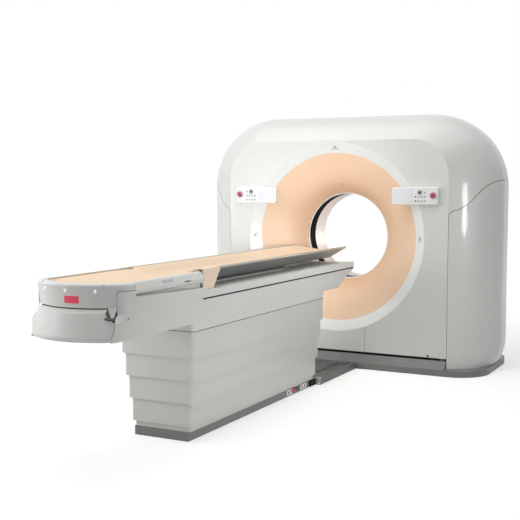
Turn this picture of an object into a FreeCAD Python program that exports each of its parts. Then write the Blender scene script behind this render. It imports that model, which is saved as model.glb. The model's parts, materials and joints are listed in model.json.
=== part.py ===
import FreeCAD, Part
import math
import os
import Sketcher

# Whole-body X-ray scanner with its patient table, in millimetres.
# X runs across the gantry, Y along the table towards the rear of the gantry,
# Z up. The origin is on the floor, under the middle of the gantry's flat front.

SIZES = {
    # gantry outside
    "gantry_half_width": 1290.0,
    "gantry_top": 2042.5,
    "gantry_depth": 900.0,
    "gantry_corner_radius": 600.0,
    "bevel_side": 335.0,
    "bevel_top": 212.5,
    "bevel_depth": 400.0,
    "bevel_corner_radius": 300.0,
    "foot_curve": 400.0,
    "foot_curve_low": -140.0,
    "shell_wall": 5.0,
    "seam_gap": 3.0,
    "side_cover_bottom": 50.0,
    "front_cover_bottom": 130.0,
    "side_seam_x": 957.0,
    "side_seam_turn": 1262.0,
    "side_seam_end": 1520.0,
    "lower_panel_half": 278.0,
    # bore, funnels and trim rings
    "bore_height": 1050.0,
    "bore_radius": 351.0,
    "lip_radius": 360.0,
    "lip_depth": 315.0,
    "rear_lip_depth": 268.0,
    "lip_straight": 26.0,
    "trim_outer_radius": 767.0,
    "trim_inner_radius": 683.0,
    "trim_depth": 52.0,
    "trim_flange": 8.0,
    "liner_wall": 4.0,
    "window_width": 116.0,
    "funnel_knee_radius": 452.0,
    "funnel_knee_depth": 168.0,
    "funnel_sweep": 330.0,
    "fit_gap": 0.3,
    "laser_window_width": 38.0,
    "laser_window_length": 72.0,
    # gantry base
    "plinth_set_in": 52.0,
    "plinth_overhang": 55.0,
    "plinth_corner_radius": 270.0,
    "plinth_centre_top": 111.0,
    "kerb_set_in": 3.0,
    "plinth_shoulder": 20.0,
    # stationary frame inside the gantry
    "frame_set_in": 55.0,
    "frame_wall": 30.0,
    "frame_wall_top": 1500.0,
    "frame_plate_inset": 200.0,
    "frame_plate_top": 1850.0,
    "frame_foot_half": 100.0,
    "frame_foot_height": 60.0,
    "frame_tie_bottom": 150.0,
    "frame_tie_height": 60.0,
    "frame_tie_clearance": 15.0,
    "frame_pad": 60.0,
    "frame_pad_low": 420.0,
    "frame_pad_high": 1150.0,
    # rotating assembly
    "bearing_outer_radius": 720.0,
    "bearing_race_radius": 640.0,
    "bearing_inner_radius": 560.0,
    "bearing_width": 60.0,
    "bearing_gap": 0.1,
    "drum_radius": 860.0,
    "drum_bore": 392.0,
    "drum_plate": 36.0,
    "drum_reach": 180.0,
    "drum_rim": 60.0,
    "hub_wall": 40.0,
    "slip_inner_radius": 745.0,
    "slip_outer_radius": 850.0,
    "slip_thickness": 24.0,
    "tube_offset": 655.0,
    "tube_radius": 112.0,
    "tube_length": 290.0,
    "detector_radius": 560.0,
    "detector_thickness": 72.0,
    "detector_width": 190.0,
    "detector_angle": 78.0,
    "generator_offset": 640.0,
    "generator_width": 230.0,
    "generator_height": 420.0,
    "generator_depth": 260.0,
    # control panels on the gantry front
    "panel_inner_x": 508.0,
    "panel_outer_x": 880.0,
    "panel_bottom": 1322.0,
    "panel_top": 1457.0,
    "panel_proud": 34.0,
    "panel_corner": 20.0,
    "panel_edge": 6.0,
    "screen_inner_x": 526.0,
    "screen_outer_x": 674.0,
    "screen_bottom": 1344.0,
    "screen_top": 1442.0,
    "film_thickness": 1.2,
    "keys_x": 702.0,
    "key_pitch": 25.0,
    "key_half": 8.0,
    "dial_x": 737.0,
    "dial_z": 1417.0,
    "dial_radius": 15.0,
    "dial_height": 7.0,
    "stop_x": 844.0,
    "stop_z": 1395.0,
    "stop_head_radius": 19.0,
    "stop_height": 24.0,
    "stop_stem_radius": 8.0,
    "socket_depth": 20.0,
    "plunger_gap": 0.3,
    # table base
    "table_foot_y": -2533.0,
    "table_head_y": -762.0,
    "table_plinth_half": 186.0,
    "table_plinth_height": 55.0,
    "bridge_half": 230.0,
    "bridge_height": 48.0,
    "bracket_wall": 4.0,
    "bracket_foot": 4.0,
    "bracket_reach": 26.0,
    "bracket_clearance": 3.0,
    "skirt_half": 255.0,
    "skirt_step": 15.0,
    "skirt_foot_y": -2576.0,
    "skirt_foot_step": 12.5,
    "skirt_head_y": -760.0,
    "skirt_head_step": 10.0,
    "skirt_wall": 3.0,
    "skirt_corner": 26.0,
    "skirt_lip": 10.0,
    "skirt_foot_width": 22.0,
    "skirt_foot_thickness": 2.5,
    "skirt_top": 655.0,
    "skirt_lap": 34.0,
    "tier_bottom_one": 494.0,
    "tier_bottom_two": 359.0,
    "tier_bottom_three": 223.0,
    "tier_bottom_four": 86.0,
    "column_half_x": 110.0,
    "column_half_y": 170.0,
    "column_y": -1660.0,
    "column_wall": 10.0,
    "column_stage": 240.0,
    "column_lap": 38.0,
    # table top structure
    "table_half": 300.0,
    "table_low_half": 266.0,
    "pan_bottom": 703.0,
    "pan_wall": 6.0,
    "waist_height": 800.0,
    "belt_line": 836.0,
    "panel_step": 955.0,
    "upper_end_slope": 0.625,
    "upper_end_sweep": 360.0,
    "upper_end_corner": 100.0,
    "lower_end_slope": 0.5,
    "lower_end_sweep": 420.0,
    "lower_end_corner": 85.0,
    "lower_end_y": -3440.0,
    "crease_end_y": -3402.0,
    "panel_end_y": -3380.0,
    "cover_end_y": -3262.0,
    "panel_seam_x": 250.0,
    "panel_corner": 14.0,
    "seam_bow": 12.0,
    "panel_head_y": -290.0,
    "ridge_height": 886.0,
    "ridge_foot_y": -2471.0,
    "arm_step_height": 904.0,
    "shoulder_height": 924.0,
    "recess_foot_y": -3200.0,
    "recess_head_y": -2549.0,
    "rail_slot_height": 9.0,
    "rail_slot_z": 840.0,
    "rail_slot_depth": 3.5,
    "frame_foot_y": -3285.0,
    "beam_inner": 176.0,
    "beam_outer": 230.0,
    "beam_bottom": 712.0,
    "beam_top": 871.0,
    "tie_height": 80.0,
    "collar_bottom": 658.0,
    "deck_top": 884.0,
    "deck_fall": 7.0,
    "deck_flat_half": 140.0,
    "glide_inner": 44.0,
    "glide_outer": 66.0,
    # foot covers
    "rim_height": 992.0,
    "rim_rounding": 14.0,
    "cover_split": 868.0,
    "cover_gap": 6.0,
    "cover_wall": 5.0,
    "upper_end_y": -3385.0,
    "upper_draw_in": 9.0,
    "well_inset": 46.0,
    "arm_head_y": -2528.0,
    "arm_inner": 254.0,
    "arm_leg": 14.0,
    "arm_low": 926.0,
    "arm_top_width": 22.0,
    "arm_slope_drop": 38.0,
    "rib_x": 190.0,
    "lower_cover_crease": 848.0,
    "lower_rounding": 24.0,
    "cap_draw_in": 30.0,
    "tongue_bottom": 818.0,
    "tongue_root_x": 207.0,
    "tongue_tip_x": 236.0,
    "tongue_set_back": 6.0,
    # cradle, pad and side flap
    "cradle_half": 226.0,
    "cradle_rim": 1000.0,
    "cradle_bottom": 905.0,
    "cradle_flat_half": 82.0,
    "cradle_bead": 12.0,
    "cradle_wall": 9.0,
    "cradle_bend": 60.0,
    "cradle_head_y": -270.0,
    "tray_head_y": -2516.0,
    "glide_head_y": -1040.0,
    "tray_top": 948.0,
    "tray_thickness": 12.0,
    "tray_clearance": 3.0,
    "tray_lap": 1.0,
    "keel_foot_y": -3180.0,
    "pad_foot_top": 986.0,
    "pad_half": 205.0,
    "pad_dip": 30.0,
    "pad_edge_slope": 4.0,
    "pad_valley_half": 70.0,
    "pad_rounding": 8.0,
    "flap_x": 258.0,
    "flap_wall": 8.0,
    "flap_foot_y": -2489.0,
    "flap_head_top_y": -2297.0,
    "flap_head_low_y": -2374.0,
    # small parts at the foot end
    "cap_radius": 8.0,
    "cap_height": 3.0,
    "cap_drop": 35.0,
    "cap_x": 158.0,
    "cap_side_y": -3346.0,
    "cap_centre_y": -3382.0,
    "cap_seat": 7.0,
    "label_width": 84.0,
    "label_height": 37.0,
    "label_x": -10.0,
    "label_drop": 98.0,
    "label_clearance": 0.1,
    "keypad_foot_y": -2935.0,
    "keypad_head_y": -2835.0,
    "socket_slot_foot_y": -2738.0,
    "socket_slot_head_y": -2676.0,
    "knob_radius": 7.0,
    "knob_x": 268.0,
    "knob_y": -3345.0,
    "knob_z": 822.0,
    "knob_length": 60.0,
    "knob_travel_room": 10.0,
}

doc = FreeCAD.newDocument("ct_scanner")
sheet = doc.addObject("Spreadsheet::Sheet", "sizes")
for row, (word, number) in enumerate(SIZES.items(), 1):
    sheet.set("A%d" % row, word)
    sheet.set("B%d" % row, repr(number))
    sheet.setAlias("B%d" % row, word)
doc.recompute()


class Size:
    """A length, together with the formula that ties it to the sheet."""

    def __init__(self, value, formula):
        self.value = value
        self.formula = formula

    def __add__(self, other):
        other = size(other)
        return Size(self.value + other.value, "(%s + %s)" % (self.formula, other.formula))

    def __sub__(self, other):
        other = size(other)
        return Size(self.value - other.value, "(%s - %s)" % (self.formula, other.formula))

    def __mul__(self, other):
        other = size(other)
        return Size(self.value * other.value, "(%s * %s)" % (self.formula, other.formula))

    def __truediv__(self, other):
        other = size(other)
        return Size(self.value / other.value, "(%s / %s)" % (self.formula, other.formula))

    def __neg__(self):
        return Size(-self.value, "(0 - %s)" % self.formula)

    def __radd__(self, other):
        return size(other) + self

    def __rsub__(self, other):
        return size(other) - self

    def __rmul__(self, other):
        return size(other) * self


def size(item):
    """Turns a plain number or a name from the table into a Size."""
    if isinstance(item, Size):
        return item
    if isinstance(item, str):
        return Size(float(sheet.get(item)), "sizes." + item)
    return Size(float(item), "%.9f" % item)


def root(item):
    return Size(math.sqrt(item.value), "sqrt(%s)" % item.formula)


S = {word: size(word) for word in SIZES}


def bind(thing, path, length):
    thing.setExpression(path, size(length).formula)


NODES = []


def node(thing, label):
    """Gives a finished piece its own name in the list of parts."""
    thing.Label = label
    NODES.append(thing)
    return thing


# ------------------------------------------------------------------ drawing


def origin_plane(body, role):
    return next(item for item in body.Origin.OriginFeatures if item.Role == role)


def corner_data(points, index):
    """Tangent points and centre of the rounding at one corner."""
    (px, py), (ax, ay), (bx, by) = (
        points[index][:2], points[index - 1][:2], points[(index + 1) % len(points)][:2])
    radius = points[index][2]
    to_a = math.hypot(ax - px, ay - py)
    to_b = math.hypot(bx - px, by - py)
    ua = ((ax - px) / to_a, (ay - py) / to_a)
    ub = ((bx - px) / to_b, (by - py) / to_b)
    half = math.acos(max(-1.0, min(1.0, ua[0] * ub[0] + ua[1] * ub[1]))) / 2
    reach = radius / math.tan(half)
    start = (px + ua[0] * reach, py + ua[1] * reach)
    end = (px + ub[0] * reach, py + ub[1] * reach)
    mid = (ua[0] + ub[0], ua[1] + ub[1])
    long = math.hypot(*mid)
    away = radius / math.sin(half)
    centre = (px + mid[0] / long * away, py + mid[1] / long * away)
    left_turn = (px - ax) * (by - py) - (py - ay) * (bx - px) > 0
    return start, end, centre, radius, left_turn


def pin(sketch, geometry, point, u, v):
    """Places one point of a sketch at (u, v), bound to the sheet."""
    for kind, length in (("DistanceX", u), ("DistanceY", v)):
        length = size(length)
        index = sketch.addConstraint(
            Sketcher.Constraint(kind, -1, 1, geometry, point, length.value))
        sketch.setExpression("Constraints[%d]" % index, length.formula)


def draw_polygon(sketch, corners):
    """A closed outline; a corner with a third value is rounded to that radius."""
    corners = [tuple(size(item) for item in corner) for corner in corners]
    plain = [tuple(item.value for item in corner) for corner in corners]
    count = len(plain)
    rounded = {i: corner_data(plain, i) for i in range(count) if len(plain[i]) > 2}
    lines = []
    for i in range(count):
        j = (i + 1) % count
        start = rounded[i][1] if i in rounded else plain[i][:2]
        end = rounded[j][0] if j in rounded else plain[j][:2]
        lines.append(sketch.addGeometry(
            Part.LineSegment(FreeCAD.Vector(*start, 0), FreeCAD.Vector(*end, 0)), False))
    for i in range(count):
        before, after = lines[i - 1], lines[i]
        if i not in rounded:
            sketch.addConstraint(Sketcher.Constraint("Coincident", before, 2, after, 1))
            pin(sketch, after, 1, corners[i][0], corners[i][1])
            continue
        start, end, centre, radius, left_turn = rounded[i]
        first, last = (start, end) if left_turn else (end, start)
        angles = [math.atan2(p[1] - centre[1], p[0] - centre[0]) for p in (first, last)]
        circle = Part.Circle(FreeCAD.Vector(*centre, 0), FreeCAD.Vector(0, 0, 1), radius)
        arc = sketch.addGeometry(Part.ArcOfCircle(circle, angles[0], angles[1]), False)
        near, far = (1, 2) if left_turn else (2, 1)
        sketch.addConstraint(Sketcher.Constraint("Tangent", before, 2, arc, near))
        sketch.addConstraint(Sketcher.Constraint("Tangent", after, 1, arc, far))
        index = sketch.addConstraint(Sketcher.Constraint("Radius", arc, radius))
        sketch.setExpression("Constraints[%d]" % index, corners[i][2].formula)
        dot = sketch.addGeometry(Part.Point(FreeCAD.Vector(*plain[i][:2], 0)), True)
        sketch.addConstraint(Sketcher.Constraint("PointOnObject", dot, 1, before))
        sketch.addConstraint(Sketcher.Constraint("PointOnObject", dot, 1, after))
        pin(sketch, dot, 1, corners[i][0], corners[i][1])


def mirrored(corners):
    """The outline of corners with u > 0, completed by its mirror image."""
    other = [(-size(c[0]),) + tuple(c[1:]) for c in reversed(corners)]
    return list(corners) + other


def attached_sketch(body, name, role, start):
    sketch = body.newObject("Sketcher::SketchObject", name)
    sketch.AttachmentSupport = [(origin_plane(body, role), "")]
    sketch.MapMode = "FlatFace"
    away = -size(start) if role == "XZ_Plane" else size(start)
    bind(sketch, "AttachmentOffset.Base.z", away)
    return sketch


def prism(name, role, corners, start, length):
    """An outline on one of the main planes, pushed along the third axis."""
    body = doc.addObject("PartDesign::Body", name)
    sketch = attached_sketch(body, name + "_outline", role, start)
    draw_polygon(sketch, corners)
    pad = body.newObject("PartDesign::Pad", name + "_pad")
    pad.Profile = sketch
    pad.Reversed = role == "XZ_Plane"
    bind(pad, "Length", length)
    return body


def soften(body, name, radius, wanted):
    """Rounds those edges of a body that the given test picks."""
    doc.recompute()
    base = body.Tip
    picked = ["Edge%d" % (i + 1) for i, edge in enumerate(base.Shape.Edges) if wanted(edge)]
    fillet = body.newObject("PartDesign::Fillet", name)
    fillet.Base = (base, picked)
    bind(fillet, "Radius", radius)
    return body


def turned(name, profile, angle=360.0):
    """A profile of (radius, y) points turned about the Y axis."""
    body = doc.addObject("PartDesign::Body", name)
    sketch = attached_sketch(body, name + "_profile", "XY_Plane", 0)
    draw_polygon(sketch, profile)
    turn = body.newObject("PartDesign::Revolution", name + "_turn")
    turn.Profile = sketch
    turn.ReferenceAxis = (sketch, ["V_Axis"])
    turn.Midplane = angle < 360.0
    turn.Angle = angle
    return body


def around_bore(body):
    """Lifts a turned piece so that its axis is the bore's."""
    bind(body, "Placement.Base.z", S["bore_height"])
    return body


def box(name, x, y, z):
    """A block between pairs of limits along X, Y and Z."""
    block = doc.addObject("Part::Box", name)
    limits = [(size(low), size(high)) for low, high in (x, y, z)]
    for side, axis, (low, high) in zip(("Length", "Width", "Height"), "xyz", limits):
        bind(block, side, high - low)
        bind(block, "Placement.Base." + axis, low)
    return block


def rod(name, axis, base, radius, length):
    """A cylinder along +X, +Y or +Z from a base point."""
    bar = doc.addObject("Part::Cylinder", name)
    turn = {"x": (FreeCAD.Vector(0, 1, 0), 90), "y": (FreeCAD.Vector(1, 0, 0), -90),
            "z": (FreeCAD.Vector(0, 0, 1), 0)}[axis]
    bar.Placement = FreeCAD.Placement(FreeCAD.Vector(), FreeCAD.Rotation(*turn))
    bind(bar, "Radius", radius)
    bind(bar, "Height", length)
    for letter, place in zip("xyz", base):
        bind(bar, "Placement.Base." + letter, place)
    return bar


def fuse(name, pieces, tidy=True):
    whole = doc.addObject("Part::MultiFuse", name)
    whole.Shapes = pieces
    whole.Refine = tidy
    return whole


def cut(name, base, tool, tidy=True):
    rest = doc.addObject("Part::Cut", name)
    rest.Base = base
    rest.Tool = tool
    rest.Refine = False
    return rest


def common(name, pieces):
    shared = doc.addObject("Part::MultiCommon", name)
    shared.Shapes = pieces
    return shared


def loft(name, role, sections, ruled=False):
    """A solid through outlines that lie on parallel planes."""
    sketches = []
    for i, (place, corners) in enumerate(sections):
        sketch = doc.addObject("Sketcher::SketchObject", "%s_section_%d" % (name, i))
        if role == "XZ_Plane":
            turn = FreeCAD.Rotation(FreeCAD.Vector(1, 0, 0), 90)
            sketch.Placement = FreeCAD.Placement(FreeCAD.Vector(), turn)
            bind(sketch, "Placement.Base.y", place)
        else:
            bind(sketch, "Placement.Base.z", place)
        draw_polygon(sketch, corners)
        sketches.append(sketch)
    skin = doc.addObject("Part::Loft", name)
    skin.Sections = sketches
    skin.Solid = True
    skin.Ruled = ruled
    return skin


# ------------------------------------------------------------ gantry covers

BEVEL_STEPS = (0.0, 0.12, 0.28, 0.48, 0.7, 0.88, 1.0)
BEVEL_POWER = 1.83


def bevel_share(step):
    return 1.0 - (1.0 - step) ** BEVEL_POWER


def gantry_outline(share, inset):
    """Front view of the gantry at one depth of its soft bevel."""
    half = S["gantry_half_width"] - inset - S["bevel_side"] * (1.0 - share)
    top = S["gantry_top"] - inset - S["bevel_top"] * (1.0 - share)
    corner = (S["bevel_corner_radius"] - inset
              + (S["gantry_corner_radius"] - S["bevel_corner_radius"]) * share)
    foot = S["foot_curve_low"]
    tuck = S["foot_curve"] * (0.1 + 0.9 * share) - inset
    return mirrored([(half, foot, tuck), (half, top, corner)])


def gantry_envelope(name, inset):
    """The closed rounded form of the gantry, shrunk by an inset."""
    near = []
    far = []
    for step in BEVEL_STEPS:
        depth = size(inset) + (S["bevel_depth"] - inset) * step
        outline = gantry_outline(bevel_share(step), size(inset))
        near.append((depth, outline))
        far.append((S["gantry_depth"] - depth, outline))
    front = loft(name + "_front", "XZ_Plane", near)
    rear = loft(name + "_rear", "XZ_Plane", far)
    middle = prism(name + "_middle", "XZ_Plane", gantry_outline(1.0, size(inset)),
                   S["bevel_depth"], S["gantry_depth"] - S["bevel_depth"] * 2)
    return fuse(name, [front, middle, rear])


def side_region(name, side, grow):
    """Everything outside the seam of a side cover, seen from the front."""
    seam = S["side_seam_x"] - grow
    turn = S["side_seam_turn"] + grow
    end = S["side_seam_end"] + grow
    past = S["gantry_half_width"] + S["plinth_overhang"]
    rise = end - turn
    span = S["gantry_half_width"] - S["side_seam_x"]
    corners = [
        (seam, S["side_cover_bottom"]), (seam, turn, 45), (seam + span * 0.32, turn + rise * 0.14, 260),
        (seam + span * 0.8, end - rise * 0.06, 190), (past, end), (past, S["side_cover_bottom"])]
    if side < 0:
        corners = [(-size(c[0]),) + tuple(c[1:]) for c in reversed(corners)]
    return prism(name, "XZ_Plane", corners, -S["plinth_overhang"],
                 S["gantry_depth"] + S["plinth_overhang"] * 2)


outer_form = gantry_envelope("gantry_form", 0)
inner_form = gantry_envelope("gantry_hollow", S["shell_wall"])
gantry_skin = cut("gantry_skin", outer_form, inner_form)

for side, word in ((-1, "left"), (1, "right")):
    cover = common("side_cover_" + word + "_form",
                   [gantry_skin, side_region("side_region_" + word, side, 0)])
    node(cover, "side_cover_" + word)

beyond = S["gantry_half_width"] * 2
seam_half = S["seam_gap"] / 2
above_plinth = S["gantry_top"] + 10
ring_hole = S["trim_outer_radius"] + S["fit_gap"]


def cover_half(name, low, high):
    return box(name, (-beyond, beyond), (low, high), (S["front_cover_bottom"], above_plinth))


sides_cleared = fuse("sides_cleared", [
    side_region("side_cut_left", -1, S["seam_gap"]),
    side_region("side_cut_right", 1, S["seam_gap"])])
middle_skin = cut("middle_skin", gantry_skin, sides_cleared)
split = S["gantry_depth"] / 2
front_hole = rod("front_hole", "y", (0, -10, S["bore_height"]), ring_hole, split)
rear_hole = rod("rear_hole", "y", (0, split, S["bore_height"]), ring_hole, split + 10)
front_half = common("front_half", [
    middle_skin, cover_half("front_limits", -S["plinth_overhang"], split - seam_half)])
front_open = cut("front_open", front_half, front_hole)
panel_gap = box("lower_panel_gap",
                (-S["lower_panel_half"] - S["seam_gap"], S["lower_panel_half"] + S["seam_gap"]),
                (-S["shell_wall"], S["shell_wall"] * 2), (0, S["bore_height"]))
node(cut("front_cover_form", front_open, panel_gap), "front_cover")
lower_limits = box("lower_limits", (-S["lower_panel_half"], S["lower_panel_half"]),
                   (-S["shell_wall"], S["shell_wall"] * 2),
                   (S["front_cover_bottom"], S["bore_height"]))
node(common("lower_panel_form", [front_open, lower_limits]), "lower_front_panel")
rear_half = common("rear_half", [
    middle_skin, cover_half("rear_limits", split + seam_half, S["gantry_depth"] + 10)])
node(cut("rear_cover_form", rear_half, rear_hole), "rear_cover")

# ------------------------------------------------- trim rings, funnels, bore

wall = S["liner_wall"]
trim_back = S["shell_wall"]


def trim_ring(name):
    """Shallow cone that frames the funnel, with a flange behind the cover."""
    outer = S["trim_outer_radius"]
    inner = S["trim_inner_radius"]
    depth = S["trim_depth"]
    return turned(name, [
        (outer, 0), (outer, trim_back), (outer + S["trim_flange"], trim_back),
        (outer + S["trim_flange"], trim_back + wall), (outer - wall, trim_back + wall),
        (inner + S["trim_flange"], depth + wall), (inner, depth + wall), (inner, depth),
        (outer - wall, 0)])


def funnel(name, lip_depth):
    """Trumpet that narrows from the trim ring to the lip of the bore."""
    rim = S["trim_inner_radius"]
    start = S["trim_depth"] + wall
    knee_r = S["funnel_knee_radius"]
    knee_y = S["funnel_knee_depth"]
    lip = S["lip_radius"]
    sweep = S["funnel_sweep"]
    return turned(name, [
        (rim, start), (knee_r, knee_y, sweep), (lip, lip_depth - S["lip_straight"]),
        (lip, lip_depth), (lip + wall, lip_depth), (lip + wall, lip_depth - S["lip_straight"]),
        (knee_r + wall, knee_y + wall, sweep - wall),
        (rim + S["trim_flange"] - wall, start + wall), (rim + S["trim_flange"] - wall, start)])


def facing_back(body):
    """Turns a front piece about the upright axis into its rear twin."""
    body.Placement = FreeCAD.Placement(
        FreeCAD.Vector(), FreeCAD.Rotation(FreeCAD.Vector(0, 0, 1), 180))
    bind(body, "Placement.Base.y", S["gantry_depth"])
    return around_bore(body)


front_ring = around_bore(trim_ring("front_ring_form"))
node(around_bore(funnel("front_funnel_form", S["lip_depth"])), "front_funnel")
node(facing_back(funnel("rear_funnel_form", S["rear_lip_depth"])), "rear_funnel")
node(facing_back(trim_ring("rear_ring_form")), "rear_trim_ring")

window_start = S["lip_depth"]
window_end = window_start + S["window_width"]
liner_end = S["gantry_depth"] - S["rear_lip_depth"]
bore = S["bore_radius"]
node(around_bore(turned("scan_window_form", [
    (bore, window_start + wall), (bore, window_end), (bore + wall, window_end),
    (bore + wall, window_start + wall)])), "scan_window")
node(around_bore(turned("bore_lip_form", [
    (bore, window_start, 2), (bore, window_start + wall),
    (bore + wall * 3, window_start + wall), (bore + wall * 3, window_start)])), "bore_lip")
node(around_bore(turned("bore_liner_form", [
    (bore, window_end), (bore, liner_end), (bore + wall * 3, liner_end),
    (bore + wall * 3, liner_end - wall), (bore + wall, liner_end - wall),
    (bore + wall, window_end)])), "bore_liner")

# laser windows let into the front ring at the top and on both sides
ring_middle = (S["trim_outer_radius"] + S["trim_inner_radius"]) / 2
ring_slope = math.degrees(math.atan2(
    S["trim_depth"].value, S["trim_outer_radius"].value - S["trim_inner_radius"].value))


def laser_window(name, turn, deep):
    """A small pane that lies in the sloping face of the ring."""
    pane = doc.addObject("Part::Box", name)
    bind(pane, "Length", S["laser_window_width"])
    bind(pane, "Height", S["laser_window_length"])
    bind(pane, "Width", size(deep) + S["film_thickness"])
    tilt = FreeCAD.Rotation(FreeCAD.Vector(0, 0, 1), -ring_slope)
    lean = FreeCAD.Placement(FreeCAD.Vector(ring_middle.value, S["trim_depth"].value / 2, 0), tilt)
    centre = FreeCAD.Placement(FreeCAD.Vector(
        -S["laser_window_width"].value / 2, -S["film_thickness"].value,
        -S["laser_window_length"].value / 2), FreeCAD.Rotation())
    swing = FreeCAD.Placement(FreeCAD.Vector(0, 0, S["bore_height"].value),
                              FreeCAD.Rotation(FreeCAD.Vector(0, 1, 0), turn))
    pane.Placement = swing.multiply(lean).multiply(centre)
    return pane


pane_turns = (0.0, -90.0, 180.0)
pane_cuts = [laser_window("pane_cut_%d" % i, turn, 2) for i, turn in enumerate(pane_turns)]
panes = [laser_window("pane_%d" % i, turn, 2) for i, turn in enumerate(pane_turns)]
node(cut("front_ring_cut", front_ring, fuse("pane_cuts", pane_cuts)), "front_trim_ring")
node(fuse("panes", panes), "laser_windows")

# --------------------------------------------------------------- gantry base

plinth_y0 = -S["plinth_overhang"]
plinth_y1 = S["gantry_depth"] + S["plinth_overhang"]
plinth_half = S["gantry_half_width"] - S["plinth_set_in"]
plinth_r = S["plinth_corner_radius"]


def rounded_plan(half, low, high, radius):
    return [(half, low, radius), (half, high, radius), (-size(half), high, radius),
            (-size(half), low, radius)]


plinth_slab = prism("plinth_slab", "XY_Plane",
                    rounded_plan(plinth_half, plinth_y0, plinth_y1, plinth_r),
                    0, S["side_cover_bottom"])
sole = S["side_cover_bottom"] / 2
kerb = [(plinth_y0, sole), (plinth_y0, S["side_cover_bottom"]),
        (-S["shell_wall"], S["plinth_centre_top"]),
        (S["plinth_shoulder"] - S["shell_wall"], S["plinth_centre_top"]),
        (S["plinth_shoulder"] - S["shell_wall"], sole)]
back_kerb = [(S["gantry_depth"] - y, z) for y, z in kerb]
kerb_half = S["gantry_half_width"] - S["bevel_side"] - S["kerb_set_in"]
kerb_span = kerb_half * 2
front_kerb = prism("front_kerb", "YZ_Plane", kerb, -kerb_half, kerb_span)
rear_kerb = prism("rear_kerb", "YZ_Plane", back_kerb, -kerb_half, kerb_span)
node(fuse("plinth_form", [plinth_slab, front_kerb, rear_kerb]), "gantry_plinth")

# ---------------------------------------------------------- stationary frame

fx = S["gantry_half_width"] - S["bevel_side"] - S["frame_set_in"]
plate_y = S["gantry_depth"] - S["frame_plate_inset"]
fw = S["frame_wall"]
fy0 = S["shell_wall"]
fy1 = S["gantry_depth"] - S["shell_wall"]
base_z = S["side_cover_bottom"]
foot_front = S["plinth_shoulder"]
foot_back = S["gantry_depth"] - S["plinth_shoulder"]
frame_parts = []
for side, word in ((-1, "left"), (1, "right")):
    inner, outer = (fx, fx + fw) if side > 0 else (-fx - fw, -fx)
    frame_parts.append(box("frame_wall_" + word, (inner, outer), (fy0, fy1),
                           (S["front_cover_bottom"], S["frame_wall_top"])))
    frame_parts.append(box("frame_foot_" + word,
                           (inner - S["frame_foot_half"], outer) if side > 0
                           else (inner, outer + S["frame_foot_half"]),
                           (foot_front, foot_back), (base_z, base_z + S["frame_foot_height"])))
    frame_parts.append(box("frame_post_" + word, (inner, outer),
                           (foot_front, foot_back), (base_z, S["front_cover_bottom"] + 1)))
    reach = S["gantry_half_width"] - S["shell_wall"]
    arm = (fx, reach) if side > 0 else (-reach, -fx)
    for height, tag in ((S["frame_pad_low"], "low"), (S["frame_pad_high"], "high")):
        frame_parts.append(box("frame_arm_%s_%s" % (word, tag), arm,
                               (split - S["frame_pad"] / 2, split + S["frame_pad"] / 2),
                               (height, height + S["frame_pad"])))
tie = (S["frame_tie_bottom"], S["frame_tie_bottom"] + S["frame_tie_height"])
tie_y = S["trim_depth"] + S["frame_tie_clearance"]
frame_parts.append(box("frame_tie_front", (-fx - 1, fx + 1), (tie_y, tie_y + fw), tie))
frame_parts.append(box("frame_tie_rear", (-fx - 1, fx + 1),
                       (S["gantry_depth"] - tie_y - fw, S["gantry_depth"] - tie_y), tie))
plate = box("frame_plate", (-fx - 1, fx + 1), (plate_y, plate_y + fw),
            (base_z, S["frame_plate_top"]))
plate_hole = rod("plate_hole", "y", (0, plate_y - 1, S["bore_height"]),
                 S["bearing_race_radius"], fw + 2)
frame_parts.append(cut("frame_plate_open", plate, plate_hole))
node(fuse("gantry_frame_form", frame_parts), "gantry_frame")

# -------------------------------------------------------- rotating assembly

race = S["bearing_race_radius"]
bearing_y = plate_y - S["bearing_width"]
drum_y = plate_y - S["drum_reach"]
drum_back = drum_y + S["drum_plate"]
node(around_bore(turned("bearing_outer_form", [
    (race, bearing_y), (S["bearing_outer_radius"], bearing_y),
    (S["bearing_outer_radius"], plate_y), (race, plate_y)])), "bearing_outer_ring")
node(around_bore(turned("bearing_inner_form", [
    (S["bearing_inner_radius"], bearing_y), (race - S["bearing_gap"], bearing_y),
    (race - S["bearing_gap"], plate_y), (S["bearing_inner_radius"], plate_y)])),
    "bearing_inner_ring")
hub_out = S["bearing_inner_radius"] + S["hub_wall"]
node(around_bore(turned("drum_form", [
    (S["drum_bore"], drum_y), (S["drum_radius"], drum_y),
    (S["drum_radius"], drum_back + S["drum_rim"]),
    (S["drum_radius"] - 10, drum_back + S["drum_rim"]), (S["drum_radius"] - 10, drum_back),
    (hub_out, drum_back), (hub_out, bearing_y), (S["bearing_inner_radius"], bearing_y),
    (S["bearing_inner_radius"], drum_back), (S["drum_bore"], drum_back)])), "rotor_drum")
slip_back = drum_back + S["slip_thickness"]
node(around_bore(turned("slip_ring_form", [
    (S["slip_inner_radius"], drum_back), (S["slip_outer_radius"], drum_back),
    (S["slip_outer_radius"], slip_back), (S["slip_inner_radius"], slip_back)])), "slip_ring")
brush_x = (S["slip_inner_radius"] + S["slip_outer_radius"]) / 2
node(box("brush_form", (brush_x - 45, brush_x + 45), (slip_back + S["fit_gap"], plate_y),
         (S["bore_height"] - 60, S["bore_height"] + 60)), "brush_block")
node(rod("tube_form", "y", (0, drum_y - S["tube_length"], S["bore_height"] + S["tube_offset"]),
         S["tube_radius"], S["tube_length"]), "xray_tube")
detector = turned("detector_form", [
    (S["detector_radius"], drum_y - S["detector_width"]),
    (S["detector_radius"] + S["detector_thickness"], drum_y - S["detector_width"]),
    (S["detector_radius"] + S["detector_thickness"], drum_y), (S["detector_radius"], drum_y)],
    S["detector_angle"].value)
detector.Placement = FreeCAD.Placement(
    FreeCAD.Vector(), FreeCAD.Rotation(FreeCAD.Vector(0, 1, 0), 90))
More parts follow.
